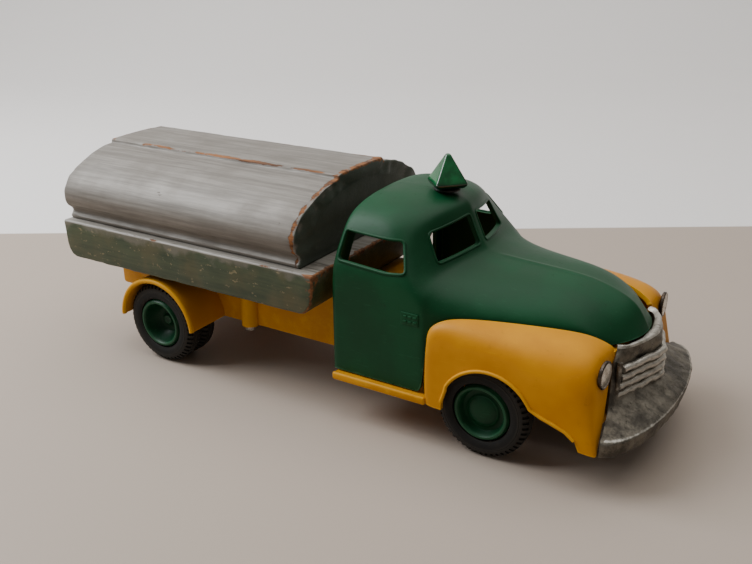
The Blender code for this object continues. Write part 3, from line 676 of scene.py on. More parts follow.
pattern_tyre = make_tyre("tyre_pattern")
front_places = {"": FRONT_FACE_Y - TYRE_W / 2}
rear_places = {"outer_": REAR_FACE_Y - TYRE_W / 2, "inner_": REAR_FACE_Y - TYRE_W / 2 - TWIN_PITCH}
for end, x, places in (("front", FRONT_X, front_places), ("rear", REAR_X, rear_places)):
    for label, side in SIDES:
        for part, reach in places.items():
            node = f"tyre_{end}_{part}{label}"
            tyre = copy_of(pattern_tyre, f"{node}_rubber", along_y(side, (x, side * reach, TYRE_R)))
            dress(tyre, RUBBER, f"{end}_wheelset", [node])
bpy.data.objects.remove(pattern_tyre, do_unlink=True)

# %% [markdown]
# The hubs are turned in the same way, from the back to the front. The front ones have a
# raised ring, a moat and a low dome. The rear ones are deep dishes, because they reach
# through a pair of tyres.

# %% Hubs
front_hub = [
    (9.7, -7.6), (9.7, -0.9), (9.35, -0.3), (9.0, 0.0), (8.4, 0.0), (8.1, -0.3), (7.5, -2.3), (7.2, -2.7),
    (6.0, -2.75), (5.6, -2.55), (5.2, -2.0), (4.4, -1.5), (3.0, -1.1), (1.5, -0.93), (0.0, -0.9),
]
rear_hub = [
    (9.7, -15.8), (9.7, -0.9), (9.35, -0.3), (9.0, 0.0), (8.4, 0.0), (8.1, -0.3), (7.7, -1.7), (6.7, -4.0),
    (5.4, -5.8), (4.9, -6.15), (2.6, -6.2), (2.2, -6.0), (1.95, -5.0), (1.6, -4.6), (0.0, -4.5),
]
hubs = (("front", FRONT_X, FRONT_FACE_Y, front_hub), ("rear", REAR_X, REAR_FACE_Y, rear_hub))
for end, x, face, rings in hubs:
    for label, side in SIDES:
        node = f"hub_{end}_{label}"
        hub = turned(f"{node}_moulding", rings, 80)
        hub.data.transform(along_y(side, (x, side * face, TYRE_R)))
        mark_edges(hub, 20, 0.9)
        dress(smooth(hub, 38), HUB_GREEN, f"{end}_wheelset", [node])

# %% [markdown]
# ## The wooden tank
#
# The tank was planed from one block: half an ellipse on a narrow foot, with a raised strip
# along the top. A filled circle is moved to that section and pushed along the truck. Its
# edges are then rounded and dented, as wear would.

# %% Tank section
DECK_REAR = -118.2
DECK_LOW = 36.8
DECK_TOP = 51.9
HALF_W = 43.1
TANK_REAR = -117.3
TANK_HALF_W = 42.1
TANK_MID_Z = 61.9
TANK_RISE = 16.9
STRIP_HALF_W = 14.9
STRIP_TOP = 79.4

tank_side = [(39.6, DECK_TOP + 0.3), (39.9, 52.8), (39.9, 53.4), (39.3, 54.1), (38.8, 54.7), (38.7, 55.4),
             (39.0, 56.2), (39.9, 57.0)]
low_turn = math.asin((57.8 - TANK_MID_Z) / TANK_RISE)
high_turn = math.acos(STRIP_HALF_W / TANK_HALF_W)
for i in range(33):
    turn = low_turn + (high_turn - low_turn) * i / 32
    tank_side.append((TANK_HALF_W * math.cos(turn), TANK_MID_Z + TANK_RISE * math.sin(turn)))
tank_side += [(STRIP_HALF_W - 0.1, 78.2), (STRIP_HALF_W - 0.3, 78.7), (STRIP_HALF_W - 1.0, 79.0),
              (11.0, 79.2), (7.0, STRIP_TOP), (2.5, STRIP_TOP)]
tank_section = tank_side + [(-y, z) for y, z in reversed(tank_side)]
print("tank section:", len(tank_section), "points")

# %% Tank body
tank = drawn("tank_wood", tank_section, TANK_REAR, TANK_FRONT, "X", cuts=70)
pick(tank)
bpy.ops.object.mode_set(mode="EDIT")
for end_x in (TANK_REAR, TANK_FRONT):
    centre = (end_x * MM, 0, TANK_MID_Z * MM)
    for ring in range(5):
        ends = bmesh.from_edit_mesh(tank.data)
        for face in ends.faces:
            at_end = abs(face.calc_center_median().x - centre[0]) < 0.1 * MM
            face.select_set(at_end and len(face.verts) > 20)
        bmesh.update_edit_mesh(tank.data)
        bpy.ops.mesh.extrude_region()
        bpy.ops.transform.resize(value=(1, 0.94, 0.94), center_override=centre)
bpy.ops.object.mode_set(mode="OBJECT")
soften(tank, 1.1, 3, 65)
face_outwards(tank)


def tank_wear(spot):
    """How ragged the wood is: most at the front rim, a little along the strip."""
    front = ramp(spot.x, TANK_FRONT - 3.0, TANK_FRONT)
    rear = ramp(-spot.x, -TANK_REAR - 2.0, -TANK_REAR) * 0.5
    strip = 0.35 * (1 - ramp(abs(abs(spot.y) - STRIP_HALF_W), 0.2, 1.4)) if spot.z > 70 else 0.0
    return max(front, rear, strip)


def tank_bareness(spot, edge):
    """Where the paint has gone: the strip's edges, and a band behind the front rim."""
    share = 0.80 + 0.18 * ramp(spot.x, -70, -10) if spot.z > 77 else 0.45
    band_start = ramp(spot.x, TANK_FRONT - 5.0, TANK_FRONT - 1.2)
    band_end = ramp(spot.x, TANK_FRONT - 0.7, TANK_FRONT - 0.2)
    rim = band_start * (1 - band_end)
    return max(edge * share, rim * 1.05)


mark_edges(tank, 12, 1.6)
mark_points(tank, tank_bareness)
roughen(tank, 0.9, 4.0, 3, tank_wear)
roughen(tank, 0.18, 14.0, 8)
dress(smooth(tank, 40), SILVER, replaces=["tank_body"])

# %% [markdown]
# ## The deck board
#
# The board under the tank is cut square, with its lower ends rounded off. It is painted
# green on its sides and silver on top, and the paint has gone from its corners.

# %% Deck board
deck_outline = [
    (DECK_REAR, DECK_TOP), (DECK_REAR + 0.1, 46.0), (DECK_REAR + 0.5, 42.4), (DECK_REAR + 1.2, 39.8),
    (DECK_REAR + 2.6, 37.7), (DECK_REAR + 4.6, DECK_LOW), (DECK_FRONT - 6.2, DECK_LOW),
    (DECK_FRONT - 4.2, 37.3), (DECK_FRONT - 2.6, 38.7), (DECK_FRONT - 1.2, 41.2), (DECK_FRONT - 0.4, 45.0),
    (DECK_FRONT, DECK_TOP),
]
deck = drawn("deck_board_wood", deck_outline, -HALF_W, HALF_W, "Y", cuts=20)
soften(deck, 0.8, 3, 55)
face_outwards(deck)
pick(deck)
bpy.ops.object.mode_set(mode="EDIT")
for cut_x in range(-114, 2, 3):
    bpy.ops.mesh.select_all(action="SELECT")
    bpy.ops.mesh.bisect(plane_co=(cut_x * MM, 0, 0), plane_no=(1, 0, 0))
bpy.ops.object.mode_set(mode="OBJECT")
mark_edges(deck, 20, 1.8)
roughen(deck, 0.35, 5.0, 5, lambda spot: ramp(abs(spot.y), 41.6, 43.0))
dress(smooth(deck, 40), DECK, replaces=["deck_board"])

# %% [markdown]
# ## The cab and bonnet
#
# The cab, windscreen and bonnet are one thin moulding. It has no flat sides, so it is laid
# over sections like a boat: a flat grid gets one row for each section, its points are moved
# to the section's places, and subdivision rounds the surface between them.

# %% Sections of the cab
CAB_REAR = 8.2
CAB_HALF_W = 39.2
CAB_WALL = 1.6
wide = CAB_HALF_W
sill = 17.7         # heights of the cab's, bonnet's and nose's lower edges
hem = 42.9
nose = 39.4
cab_rows = [
    [(8.7, 0, 68.0), (8.7, 12, 67.8), (8.7, 20, 66.9), (8.7, 24.5, 64.5), (8.7, 27.5, 60),
     (8.7, 31.0, 54), (8.7, 32.5, 49), (8.7, 32.5, 34), (8.7, 32.5, sill)],
    [(CAB_REAR, 0, 74.2), (CAB_REAR, 13, 73.8), (CAB_REAR, 22.4, 72.3), (CAB_REAR, 28.8, 69.4),
     (CAB_REAR, 32.8, 64), (CAB_REAR, 38.1, 57), (CAB_REAR, wide, 50.5), (CAB_REAR, wide, 34),
     (CAB_REAR, wide, sill)],
    [(11.5, 0, 75.6), (11.5, 13.3, 75.2), (11.5, 23, 73.6), (11.5, 29.6, 70.4), (11.5, 33.3, 64.4),
     (11.5, 38.5, 57), (11.5, wide, 50.5), (11.5, wide, 34), (11.5, wide, sill)],
    [(22, 0, 75.7), (22, 13.5, 75.3), (22, 23.5, 73.8), (22, 30, 70.7), (22, 33.5, 64.6),
     (22, 38.6, 57), (22, wide, 50.5), (22, wide, 34), (22, wide, sill)],
    [(32.5, 0, 75.0), (31.5, 13.5, 74.6), (30, 23.8, 72.8), (28, 30.2, 69.6), (27.5, 33.9, 64),
     (27, 38.7, 57), (27, wide, 50.5), (27, wide, 34), (27, wide, sill)],
    [(40, 0, 73.2), (38.2, 13.4, 72.4), (34.8, 24, 70.0), (31.5, 30.8, 66.8), (31.6, 34.4, 62.5),
     (32.6, 38.8, 56.8), (33, wide, 50.4), (33, wide, 34), (33, wide, sill)],
    [(41.6, 0, 69.4), (39.4, 13, 68.4), (36.2, 24.6, 66.6), (34.2, 31.2, 64.2), (35.4, 35.2, 60.0),
     (37, 38.8, 55.6), (38, wide, 49.6), (38, wide, 34), (38, wide, sill)],
    [(46.6, 0, 57.6), (44.8, 13, 57.0), (42, 25.4, 56.0), (40.4, 32.6, 55.2), (40.8, 36.8, 53.6),
     (41.5, 38.9, 51.2), (41.8, wide, 47), (41.8, wide, 33), (41.8, wide, sill)],
    [(49, 0, 56.2), (47.4, 13, 55.8), (45, 25, 54.4), (44, 32.4, 53), (44, 36.4, 51.2),
     (44.1, 38.5, 48.8), (44.2, 39.1, 45), (44.3, wide, 33), (44.3, wide, sill)],
    [(52, 0, 55.5), (51, 13, 55.1), (49.2, 24.4, 53.3), (48, 31, 51.2), (46.8, 34.8, 48.8),
     (45.8, 36.8, 46.6), (45.3, 37.8, 45.2), (45.1, 38.2, 44), (45, 38.3, hem)],
    [(60, 0, 54.8), (59, 12.6, 54.3), (58, 22.4, 52.2), (57, 28, 49.6), (56.6, 30.8, 47.4),
     (56.4, 32, 45.8), (56.2, 32.4, 44.8), (56, 32.6, 43.8), (56, 32.6, hem)],
    [(72, 0, 54.3), (72, 12, 53.7), (72, 20.2, 51.4), (72, 24.8, 48.8), (72, 27, 46.8),
     (72, 27.9, 45.6), (72, 28.1, 44.6), (72, 28.2, 43.8), (72, 28.2, hem)],
    [(86, 0, 53.4), (86, 10.8, 52.7), (86, 17.8, 50.4), (86, 21.6, 48.1), (86, 23.4, 46.4),
     (86, 24, 45.2), (86, 24.1, 44.4), (86, 24.1, 43.6), (86, 24.1, hem)],
    [(96, 0, 50.4), (95.2, 9.4, 48.0), (94.4, 15.2, 46.0), (93.8, 18.6, 44.8), (93.5, 20.2, 44.2),
     (93.4, 20.9, 43.6), (93.3, 21.2, 43.0), (93.3, 21.4, 42.3), (93.3, 21.4, 41.6)],
    [(102, 0, 46.8), (100.4, 7.4, 45.0), (98.4, 12.6, 43.6), (97.0, 16.4, 42.6), (96.4, 18.4, 42.0),
     (96.2, 19.2, 41.7), (96.1, 19.6, 41.4), (96, 19.9, 41.1), (96, 20, 40.8)],
    [(105.4, 0, nose), (104.9, 5.2, nose), (103.4, 9.8, nose), (101.4, 13.4, nose), (99.4, 16, nose),
     (98, 17.6, nose), (97.3, 18.6, nose), (96.8, 19.2, nose), (96.4, 19.6, nose)],
]
print("cab sections:", len(cab_rows))


# %% Lay the cab's surface
def between(first, second, share):
    return tuple(a + (b - a) * share for a, b in zip(first, second))


def with_columns(rows, column, shares):
    """The rows with more points after one column, at shares of the way to the next."""
    extra = [[between(row[column], row[column + 1], s) for s in shares] for row in rows]
    return [row[:column + 1] + more + row[column + 1:] for row, more in zip(rows, extra)]


cab = sheet("cab_moulding", with_columns(cab_rows, 0, [0.12, 0.3]), 3, mirrored=True)
bonnet_crease = 0.35
for vertex in cab.data.vertices:
    x, y, z = vertex.co / MM
    if z > 46 and x > 50:
        vertex.co.z += bonnet_crease * MM * math.exp(-(y / 1.1) ** 2) * ramp(x, 50, 58) * ramp(-x, -96, -82)
cab_surface = surface_of(cab)
thicken(cab, CAB_WALL)
print("cab shell:", len(cab.data.polygons), "faces")


# %% [markdown]
# The door windows and the two panes of the windscreen are holes right through the shell.
# A cutter is the window's outline with its corners rounded, pushed through the wall. A thin
# raised lip runs round each hole: a bead that follows the outline over the curved surface.

# %% Rounded outlines and beads
def rounded(corners, radius, steps=5):
    """A closed outline with each corner turned by a small arc."""
    result = []
    count = len(corners)
    for i, corner in enumerate(corners):
        corner = Vector(corner)
        before = Vector(corners[i - 1]) - corner
        after = Vector(corners[(i + 1) % count]) - corner
        reach = min(radius, before.length * 0.45, after.length * 0.45)
        start = corner + before.normalized() * reach
        end = corner + after.normalized() * reach
        for k in range(steps + 1):
            t = k / steps
            result.append(tuple(start * (1 - t) ** 2 + corner * 2 * t * (1 - t) + end * t ** 2))
    return result


def on_surface(surface, start, way, lift=0.0):
    """Where a ray meets a surface, moved lift millimetres back along the ray."""
    way = Vector(way).normalized()
    hit = surface.ray_cast(Vector(start) * MM, way)[0]
    return None if hit is None else hit / MM - way * lift


def bead(name, points, radius, closed=True, flat=1.0):
    """A thin round strip that follows points."""
    curve = bpy.data.curves.new(name, "CURVE")
    curve.dimensions = "3D"
    curve.bevel_depth = radius * MM
    curve.bevel_resolution = 3
    curve.use_fill_caps = True
    spline = curve.splines.new("POLY")
    spline.points.add(len(points) - 1)
    for place, point in zip(spline.points, points):
        place.co = (*(Vector(point) * MM), 1.0)
    spline.use_cyclic_u = closed
    obj = bpy.data.objects.new(name, curve)
    bpy.context.scene.collection.objects.link(obj)
    pick(obj)
    bpy.ops.object.convert(target="MESH")
    obj = named(name)
    return smooth(face_outwards(obj), 60)


def finely(outline, gap=1.2):
    """The outline with points no further apart than gap."""
    result = []
    for a, b in zip(outline, outline[1:] + outline[:1]):
        a, b = Vector(a), Vector(b)
        count = max(1, math.ceil((b - a).length / gap))
        result += [tuple(a.lerp(b, i / count)) for i in range(count)]
    return result


# %% Cut the windows and lay their lips
door_window = rounded([(10.6, 57.4), (10.6, 66.6), (32.4, 65.9), (36.6, 57.0), (29.6, 56.4)], 1.5)
screen_pane = rounded([(1.9, 58.6), (24.6, 57.4), (22.6, 66.9), (1.9, 68.8)], 1.6)
cut(cab, drawn("door_window_cutter", door_window, -60, 60, "Y"))
lips = []
for side in (-1, 1):
    pane = [(side * y, z) for y, z in screen_pane]
    cut(cab, drawn("screen_cutter", pane, 30, 60, "X"))
    path = [on_surface(cab_surface, (x, side * 60, z), (0, -side, 0), -0.1) for x, z in finely(door_window)]
    lips.append(bead("lip", [p for p in path if p], 0.55))
    path = [on_surface(cab_surface, (70, y, z), (-1, 0, 0), -0.1) for y, z in finely(pane)]
    lips.append(bead("lip", [p for p in path if p], 0.45))
cut(cab, turned("lamp_hole_cutter", [(2.5, 60), (2.5, 90)], 24))
face_outwards(cab)
mark_edges(cab, 30, 1.3)
dress(smooth(cab, 40), GREEN, replaces=["cab_shell"])
dress(join(lips, "window_lips"), GREEN)

# %% [markdown]
# A small raised panel with two rows of slots is moulded on each side of the cab, behind the
# bonnet. It is a flat block with its slots raised as short ribs.

# %% Louvre panels
panels = []
for side in (-1, 1):
    near, far = span(side, CAB_HALF_W - 0.15, CAB_HALF_W + 0.3)
    panels.append(block("panel", (36.2, near, 41.0), (42.6, far, 45.2), 0.3, 2))
    for row in (42.2, 43.9):
        for place in range(3):
            x = 37.2 + place * 1.8
            near, far = span(side, CAB_HALF_W - 0.15, CAB_HALF_W + 0.6)
            panels.append(block("slot", (x, near, row - 0.35), (x + 1.3, far, row + 0.35), 0.2, 2))
dress(join(panels, "louvre_panels"), GREEN)

# %% [markdown]
# ## The chassis
#
# The chassis is one yellow moulding: a channel under the truck, two wings at the front,
# running boards, and mudguards over the rear wheels. Each part is made on its own here and
# they meet inside one another.

# %% Frame channel
FRAME_HALF_W = 24.0
FRAME_TOP = 36.5
FRAME_LOW = 17.0
FRAME_WALL = 2.2
TAIL_X = -109.0
PANEL_X = 98.5
BOSS_X = -39.8
BOSS_Y = 24.6

side_view = rounded([(TAIL_X, FRAME_TOP), (TAIL_X, 20.4), (-94, 20.4), (-90, FRAME_LOW), (2, FRAME_LOW),
                     (10, 14.6), (PANEL_X + 2, 14.6), (PANEL_X + 2, FRAME_TOP)], 1.6, 4)
channel = drawn("frame_channel", side_view, -FRAME_HALF_W, FRAME_HALF_W, "Y")
hollow = block("hollow", (TAIL_X + FRAME_WALL, FRAME_WALL - FRAME_HALF_W, 0),
               (PANEL_X, FRAME_HALF_W - FRAME_WALL, FRAME_TOP - FRAME_WALL))
cut(channel, hollow)
soften(channel, 0.5, 2, 50)
frame_parts = [channel]
for x in (-94.0, BOSS_X, 6.0):
    frame_parts.append(block("web", (x - 1.2, 1 - FRAME_HALF_W, FRAME_LOW + 1),
                             (x + 1.2, FRAME_HALF_W - 1, FRAME_TOP - 1), 0.3, 2))
frame_parts.append(block("front_panel", (PANEL_X, -18, 16.0), (PANEL_X + 2, 18, 38.0), 0.4, 2))
bearing_rings = [(3.6, FRAME_HALF_W - 5), (3.6, FRAME_HALF_W - 0.4), (3.2, FRAME_HALF_W)]
for side in (-1, 1):
    boss = turned("boss", [(3.4, FRAME_LOW), (3.4, FRAME_TOP - 0.2)], 40)
    boss.data.transform(Matrix.Translation((BOSS_X * MM, side * BOSS_Y * MM, 0)))
    frame_parts.append(boss)
    for x in (FRONT_X, REAR_X):
        bearing = turned("bearing", bearing_rings, 32)
        bearing.data.transform(along_y(side, (x, 0, TYRE_R)))
        frame_parts.append(bearing)
channel = join(frame_parts, "frame_moulding")
mark_edges(channel, 30, 1.2)
dress(smooth(channel, 35), YELLOW, replaces=["chassis"])


# %% [markdown]
# A wing is another free curved sheet: its rows run from the joint with the bonnet out over
# the top and down to the hem. The wheel arch is then cut through it, and a rolled lip is
# laid round the cut.

# %% Sections of a wing
def wing_rows(side):
    out = HALF_W - 1.3
    rows = [
        [(45.9, 39.6, 39.0), (45.9, 39.6, 36.0), (45.9, 39.6, 31), (45.9, 39.6, 26), (45.9, 39.6, 20),
         (45.9, 39.6, 16.5)],
        [(47.0, 39.2, 42.6), (46.4, 40.4, 41.0), (46, 41.3, 37.5), (45.8, 41.5, 28), (45.8, 41.5, 20),
         (46.4, 41.4, 15.2)],
        [(51.4, 36.2, 44.9), (50.6, 39.4, 44.0), (49.6, 41.4, 40), (48.8, out, 30), (48.6, out, 20),
         (49.4, out, 14.9)],
        [(60, 32.5, 45.2), (60, 37.4, 44.9), (60, 41, 41.4), (60, out, 32), (60, out, 22), (60, out, 14.9)],
        [(74, 28.1, 45.0), (74, 35.2, 44.2), (74, 40.6, 41), (74, out, 32), (74, out, 22), (74, out, 14.9)],
        [(86, 24.8, 44.7), (86, 33.2, 44.0), (86, 40, 40.4), (86, out, 31), (86, out, 22), (86, out, 14.9)],
        [(93, 22.4, 43.9), (94.6, 31.2, 43.1), (95.8, 38.6, 39.2), (96.2, 41.4, 31), (96.8, out, 22),
         (98, out, 14.4)],
        [(97.6, 20.9, 42.1), (99.2, 29, 41.6), (100.4, 36, 37.8), (101.2, 39.2, 30.5), (102, 41, 22),
         (102.8, 41.7, 13.9)],
        [(100.3, 19.9, 40.4), (100.9, 26.4, 39.6), (101.4, 31.4, 35.6), (102, 35.4, 29.5), (103.2, 38.8, 22),
         (104.3, 41.2, 13.9)],
        [(100.5, 19.5, 39.5), (100.6, 21.4, 37.2), (100.8, 23.2, 33.6), (101.4, 25.6, 28), (102.4, 30.5, 22),
         (104.2, 40.4, 13.9)],
    ]
    return [[(x, side * y, z) for x, y, z in row] for row in rows]


arch = [(52.2, 5.0), (52.6, 18.0), (54.0, 22.5)]
for i in range(25):
    turn = math.radians(152 - 124 * i / 24)
    arch.append((68.6 + 16.2 * math.cos(turn), 16.6 + 16.0 * math.sin(turn)))
arch += [(86.6, 22.4), (90.5, 21.2), (94.5, 19.8), (97.4, 17.6), (99.0, 14.0), (99.4, 5.0)]

# %% Front wings
WING_WALL = 1.6
for label, side in SIDES:
    wing = sheet(f"wing_{label}", wing_rows(side), 3)
    surface = surface_of(wing)
    faces_out = wing.data.polygons[len(wing.data.polygons) // 2].normal.y * side > 0
    if not faces_out:
        wing.data.flip_normals()
    thicken(wing, WING_WALL)
    near, far = span(side, 30, 60)
    cut(wing, drawn("arch_cutter", arch, near, far, "Y"))
    face_outwards(wing)
    path = [on_surface(surface, (x, side * 60, z), (0, -side, 0), 0.05) for x, z in arch[1:-1]]
    rim = bead("rim", [p for p in path if p], 0.6, closed=False)
    near, far = span(side, 17, 27)
    brace = block("brace", (PANEL_X, near, 18.0), (PANEL_X + 2, far, 33.0), 0.3)
    wing = join([wing, rim, brace], f"wing_{label}_moulding")
    mark_edges(wing, 30, 1.3)
    dress(smooth(wing, 40), YELLOW)

# %% [markdown]
# The running boards are flat steps with a raised outer lip. The mudguards are arched
# strips over each pair of rear tyres, with a rolled outer edge.

# %% Running boards and mudguards
GUARD_R = 18.9
ROLL_R = GUARD_R - 0.9
BOARD_REAR = 10.0
BOARD_FRONT = 46.5
BOARD_STEP_Z = 17.4
for label, side in SIDES:
    near, far = span(side, 23, HALF_W - 1.4)
    step = block("step", (BOARD_REAR, near, BOARD_STEP_Z - 3.0), (BOARD_FRONT, far, BOARD_STEP_Z - 0.3), 0.9)
    near, far = span(side, HALF_W - 2.9, HALF_W - 1.3)
    lip = block("lip", (BOARD_REAR, near, BOARD_STEP_Z - 2.8), (BOARD_FRONT, far, BOARD_STEP_Z), 0.7)
    board = join([step, lip], f"running_board_{label}")
    mark_edges(board, 30, 1.0)
    dress(smooth(board, 35), YELLOW)

    turns = [math.radians(3 + 174 * i / 56) for i in range(57)]
    arc = [(REAR_X + GUARD_R * math.cos(t), TYRE_R + GUARD_R * math.sin(t)) for t in turns]
    inner = GUARD_R - 1.7
    arc += [(REAR_X + inner * math.cos(t), TYRE_R + inner * math.sin(t)) for t in reversed(turns)]
    near, far = span(side, FRAME_HALF_W - 1, HALF_W - 0.4)
    arched = soften(drawn("arched", arc, near, far, "Y", cuts=8), 0.5, 2, 50)
    roll_y = side * (HALF_W - 1.0)
    roll = [(REAR_X + ROLL_R * math.cos(t), roll_y, TYRE_R + ROLL_R * math.sin(t)) for t in turns]
    guard = join([arched, bead("roll", roll, 0.95, closed=False)], f"mudguard_{label}_moulding")
    mark_edges(guard, 30, 1.2)
    dress(smooth(guard, 40), YELLOW, replaces=[f"mudguard_{label}"])

# %% [markdown]
# ## The mask
#
# The nose is one metal casting: a lip under the bonnet, a hollow with four bars, a rough
# apron and a bumper that wraps round the wings. It is laid over sections like the cab, and
# its skin is then roughened, because the casting was never polished.

# %% Mask
MASK_WALL = 2.0
mask_shape = [          # height, middle x, edge x, half width, share of a V in its plan
    (39.3, 105.7, 100.0, 15.8, 0), (40.3, 107.0, 100.7, 17.2, 0), (39.9, 108.7, 100.9, 17.7, 0.2),
    (38.0, 110.1, 101.0, 18.9, 0.5), (35.8, 110.4, 101.3, 21.4, 0.8), (35.0, 109.4, 101.3, 22.0, 0.95),
    (29.0, 109.3, 101.8, 24.6, 0.95), (24.4, 109.8, 102.4, 26.9, 0.9), (23.4, 111.2, 102.8, 28.4, 0.7),
    (21.4, 114.2, 103.4, 31.4, 0.25), (19.6, 117.0, 104.2, 36.5, 0), (18.8, 118.1, 104.8, 40.0, 0),
    (17.8, 117.9, 104.9, 40.6, 0), (13.7, 117.2, 104.8, 40.6, 0), (13.2, 115.6, 104.0, 39.6, 0),
]
turns = [math.radians(90 * i / 8) for i in range(9)]
mask_rows = []
for z, mid, edge, half, pointed in mask_shape:
    plan = [(1 - pointed) * math.cos(t) + pointed * (1 - math.sin(t)) for t in turns]
    mask_rows.append([(edge + (mid - edge) * p, half * math.sin(t), z) for p, t in zip(plan, turns)])
mask = sheet("mask_casting", mask_rows, 3, mirrored=True)
if mask.data.polygons[0].normal.x < 0 and mask.data.polygons[0].normal.z < 0:
    mask.data.flip_normals()
thicken(mask, MASK_WALL)


def mask_highlights_and_rubbing(spot, mark):
    """Painted highlights, with some rubbed metal: the bumper's ridge, the apron's top, the lip."""
    ridge = 0.75 - abs(spot.z - 18.9) * 0.9 if spot.x > 105.6 else 0.0
    shoulder = 0.42 - abs(spot.z - 23.4) * 0.3 if spot.x > 103.4 else 0.0
    crest = 0.7 if spot.z > 39.2 else 0.0
    return max(ridge, shoulder, crest, 0.0)


mark_points(mask, mask_highlights_and_rubbing)
roughen(mask, 0.3, 3.2, 4)
mask_parts = [mask]
for row in range(4):
    reach = 19.4 + 0.9 * row
    path = []
    for i in range(33):
        y = reach * (i / 16 - 1)
        x = 110.9 - 0.37 * math.hypot(y, 1.6)
        z = 33.4 - 2.75 * row + 0.55 * noise.noise(Vector((y / 4.0, row * 9.0, 4)))
        path.append((x + 0.3 * noise.noise(Vector((y / 3.0, row * 5.0, 0))), y, z))
    bar = bead("bar", path, 1.15, closed=False)
    # painted highlight with some rubbed metal, all along the bar
    mark_points(bar, lambda spot, mark: 0.8)
    roughen(bar, 0.45, 2.2, row)
    mask_parts.append(bar)
for side in (-1, 1):
    end_bar = [(103.0, side * (20.6 + (36 - z) * 0.18), z) for z in range(24, 38, 2)]
    bar = bead("end_bar", end_bar, 0.9, closed=False)
    # painted highlight with some rubbed metal on the end bars
    mask_parts.append(mark_points(bar, lambda spot, mark: 0.5))
mask = join(mask_parts, "mask_casting")
dress(smooth(mask, 50), CAST, replaces=["mask"])

# %% [markdown]
# ## Lamps, screws and axles
#
# The headlights are shallow studs with a raised rim, set between the bonnet and the wings.
# The roof lamp is a four-sided pyramid on a turned peg, one edge forward. Its edges are
# bevelled so that they catch a line of light.

# %% Headlights
LAMP_SPLAY = math.radians(4)
STUD_X = 102.0
STUD_Y = 31.0
STUD_Z = 36.0
RIM_INSIDE_R = 3.75
stud_rings = [
    (1.5, -5.4), (1.5, -1.1), (4.2, -1.0), (4.5, -0.7), (4.5, 0.0), (4.2, 0.25), (3.9, 0.2), (3.7, 0.1),
    (3.0, 0.3), (2.2, 0.45), (1.2, 0.55), (0.0, 0.6),
]
for label, side in SIDES:
    stud = turned(f"headlight_{label}_stud", stud_rings, 48)
    place = Vector((STUD_X, side * STUD_Y, STUD_Z)) * MM
    facing = Vector((math.cos(LAMP_SPLAY), side * math.sin(LAMP_SPLAY), 0))
    stud.data.transform(Matrix.Translation(place) @ facing.to_track_quat("Z", "Y").to_matrix().to_4x4())
    centre = place / MM
    mark_points(stud, lambda spot, mark: float((spot - centre).cross(facing).length > RIM_INSIDE_R), "rim")
    dress(smooth(stud, 40), BRIGHT, replaces=[f"headlight_{label}"])

# %% Roof lamp and its peg
LAMP_X = 31.7
LAMP_LOW = 76.5
LAMP_TOP = 88.1
LAMP_FOOT_R = 6.2
LAMP_R = 8.0
LAMP_TIP_R = 1.0
start_clean()
bpy.ops.mesh.primitive_circle_add(vertices=4, radius=LAMP_FOOT_R * MM, fill_type="NGON",
                                  location=(LAMP_X * MM, 0, LAMP_LOW * MM))
lamp = place_into_mesh(named("roof_lamp_pyramid"))
bpy.ops.object.mode_set(mode="EDIT")
bpy.ops.mesh.select_all(action="SELECT")
lamp_steps = [(0.9, LAMP_R / LAMP_FOOT_R), (1.0, 1.0), (LAMP_TOP - LAMP_LOW - 1.9, LAMP_TIP_R / LAMP_R)]
for rise, share in lamp_steps:
    bpy.ops.mesh.extrude_region_move(TRANSFORM_OT_translate={"value": (0, 0, rise * MM)})
    bpy.ops.transform.resize(value=(share, share, 1), center_override=(LAMP_X * MM, 0, 0))
bpy.ops.object.mode_set(mode="OBJECT")
face_outwards(lamp)
apply_modifier(lamp, "BEVEL", width=0.7 * MM, segments=4)
pick(lamp)
bpy.ops.object.mode_set(mode="EDIT")
bpy.ops.mesh.select_all(action="SELECT")
bpy.ops.mesh.subdivide(number_cuts=6)
bpy.ops.object.mode_set(mode="OBJECT")


def lamp_edge_shade(spot, mark):
    """1 along the four sloping edges and round the foot, where shade is painted, 0 on the flats."""
    height = min(1.0, max(0.0, (LAMP_TOP - spot.z) / 9.7))
    widest = LAMP_TIP_R + (LAMP_R - LAMP_TIP_R) * height
    corner = min(abs(spot.x - LAMP_X), abs(spot.y)) / max(0.6, widest)
    foot = 1 - max(0.0, spot.z - LAMP_LOW - 1.4) / 1.6
    return max(1 - corner / 0.09, foot, 0.0)


mark_points(lamp, lamp_edge_shade)
dress(smooth(lamp, 30), LAMP_GREEN, replaces=["roof_lamp"])

peg_rings = [
    (2.2, 70.4), (2.2, 75.4), (4.7, 75.5), (4.8, 75.7), (4.8, 76.0), (4.6, 76.2), (3.6, 76.5),
    (0.0, 76.5),
]
peg = turned("lamp_peg_turned", peg_rings, 48)
peg.data.transform(Matrix.Translation((LAMP_X * MM, 0, 0)))
mark_edges(peg, 25, 0.5)
dress(smooth(peg, 35), BLACK, replaces=["lamp_peg"])

# %% Axles and screws keep their solids
for name, node in NODES.items():
    if name.startswith("axle_") or "screw" in name:
        node.data.materials.clear()
        node.data.materials.append(STEEL)
        print(name, "is steel")

# %% [markdown]
# ## The studio
#
# The floor is one mesh that runs back past the truck and sweeps up behind it. A tan table
# gives way to a paler sheet at a straight line a little beyond the truck. A small light
# from the left gives the tank its sheen, a broad one overhead lights the sweep, and the
# room's own light fills the rest.

# %% Floor and backdrop
SHEET_EDGE = 163.0          # where the paler sheet begins, in millimetres from the middle
SWEEP_START = 0.62          # the sweep's sizes are in metres
SWEEP_RADIUS = 0.45
FLOOR_NEAR = -2.0
FLOOR_HALF_W = 3
SWEEP_TOP = 2.0
away = Vector((-back.x, -back.y, 0)).normalized()
across = Vector((-away.y, away.x, 0))
UP = Vector((0, 0, 1))


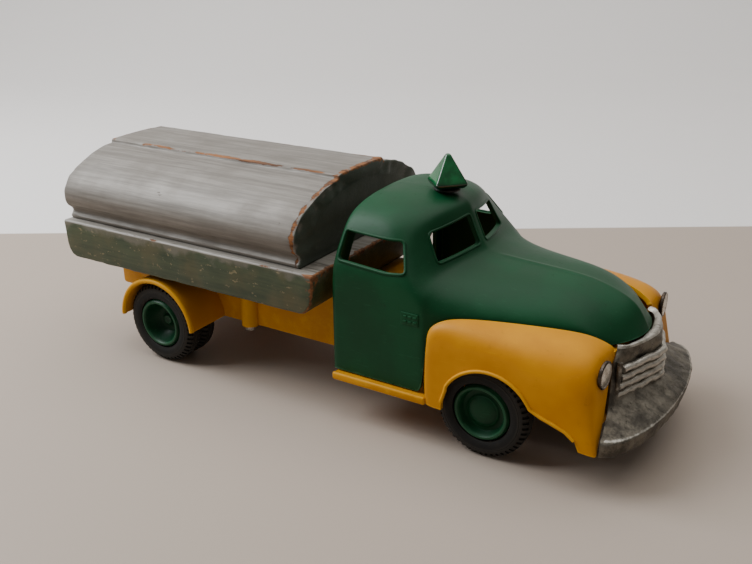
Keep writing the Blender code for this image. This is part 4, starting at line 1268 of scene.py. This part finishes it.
def plain_surface(name, near_tone, far_tone):
    r = Recipe(name)
    distance = r.along(0) * away.x + r.along(1) * away.y
    tone = r.blend(r.step(distance, SHEET_EDGE - 1.0, SHEET_EDGE + 1.0), near_tone, far_tone)
    cloud = r.noise(6, 3)
    colour = r.blend(cloud * 0.05, tone, (0.3, 0.28, 0.26))
    return r.finish(colour, 0.6 + cloud * 0.1, r.bump(r.noise(900, 2), 0.02))


profile = [(FLOOR_NEAR, 0.0), (SWEEP_START, 0.0)]
for i in range(1, 13):
    turn = math.radians(90 * i / 12)
    profile.append((SWEEP_START + SWEEP_RADIUS * math.sin(turn), SWEEP_RADIUS * (1 - math.cos(turn))))
profile.append((SWEEP_START + SWEEP_RADIUS, SWEEP_TOP))
start_clean()
bpy.ops.mesh.primitive_grid_add(x_subdivisions=1, y_subdivisions=len(profile) - 1, size=1)
floor = named("floor")
corners = [away * far + UP * high + across * side * FLOOR_HALF_W
           for far, high in profile for side in (-1, 1)]
for vertex, corner in zip(floor.data.vertices, corners):
    vertex.co = corner
smooth(floor, 30)
floor.data.materials.append(plain_surface("pale_floor", paint(170, 156, 143), paint(232, 229, 227)))
print("floor:", len(profile), "rows")


# %% Lights
def soft_light(name, place, target, size, power, tone):
    lamp_data = bpy.data.lights.new(name, "AREA")
    lamp_data.shape = "RECTANGLE"
    lamp_data.size, lamp_data.size_y = size
    lamp_data.energy = power
    lamp_data.color = tone
    obj = bpy.data.objects.new(name, lamp_data)
    bpy.context.scene.collection.objects.link(obj)
    obj.location = place
    obj.rotation_euler = (Vector(target) - Vector(place)).to_track_quat("-Z", "Y").to_euler()
    print(name, power, "W")
    return obj


window_place = away * 0.09 + across * 0.56 + UP * 0.62
overhead_place = away * 0.55 + UP * 1.4
soft_light("window_light", window_place, (0, 0, 0.02), (0.5, 0.5), 8.5, (0.94, 0.97, 1.0))
soft_light("overhead_light", overhead_place, away * 0.55, (2.4, 1.6), 22.0, (1.0, 0.98, 0.95))
world = bpy.data.worlds.new("room")
bpy.context.scene.world = world
world.use_nodes = True
sky = world.node_tree.nodes["Background"]
sky.inputs["Color"].default_value = (0.82, 0.78, 0.72, 1.0)
sky.inputs["Strength"].default_value = 0.24
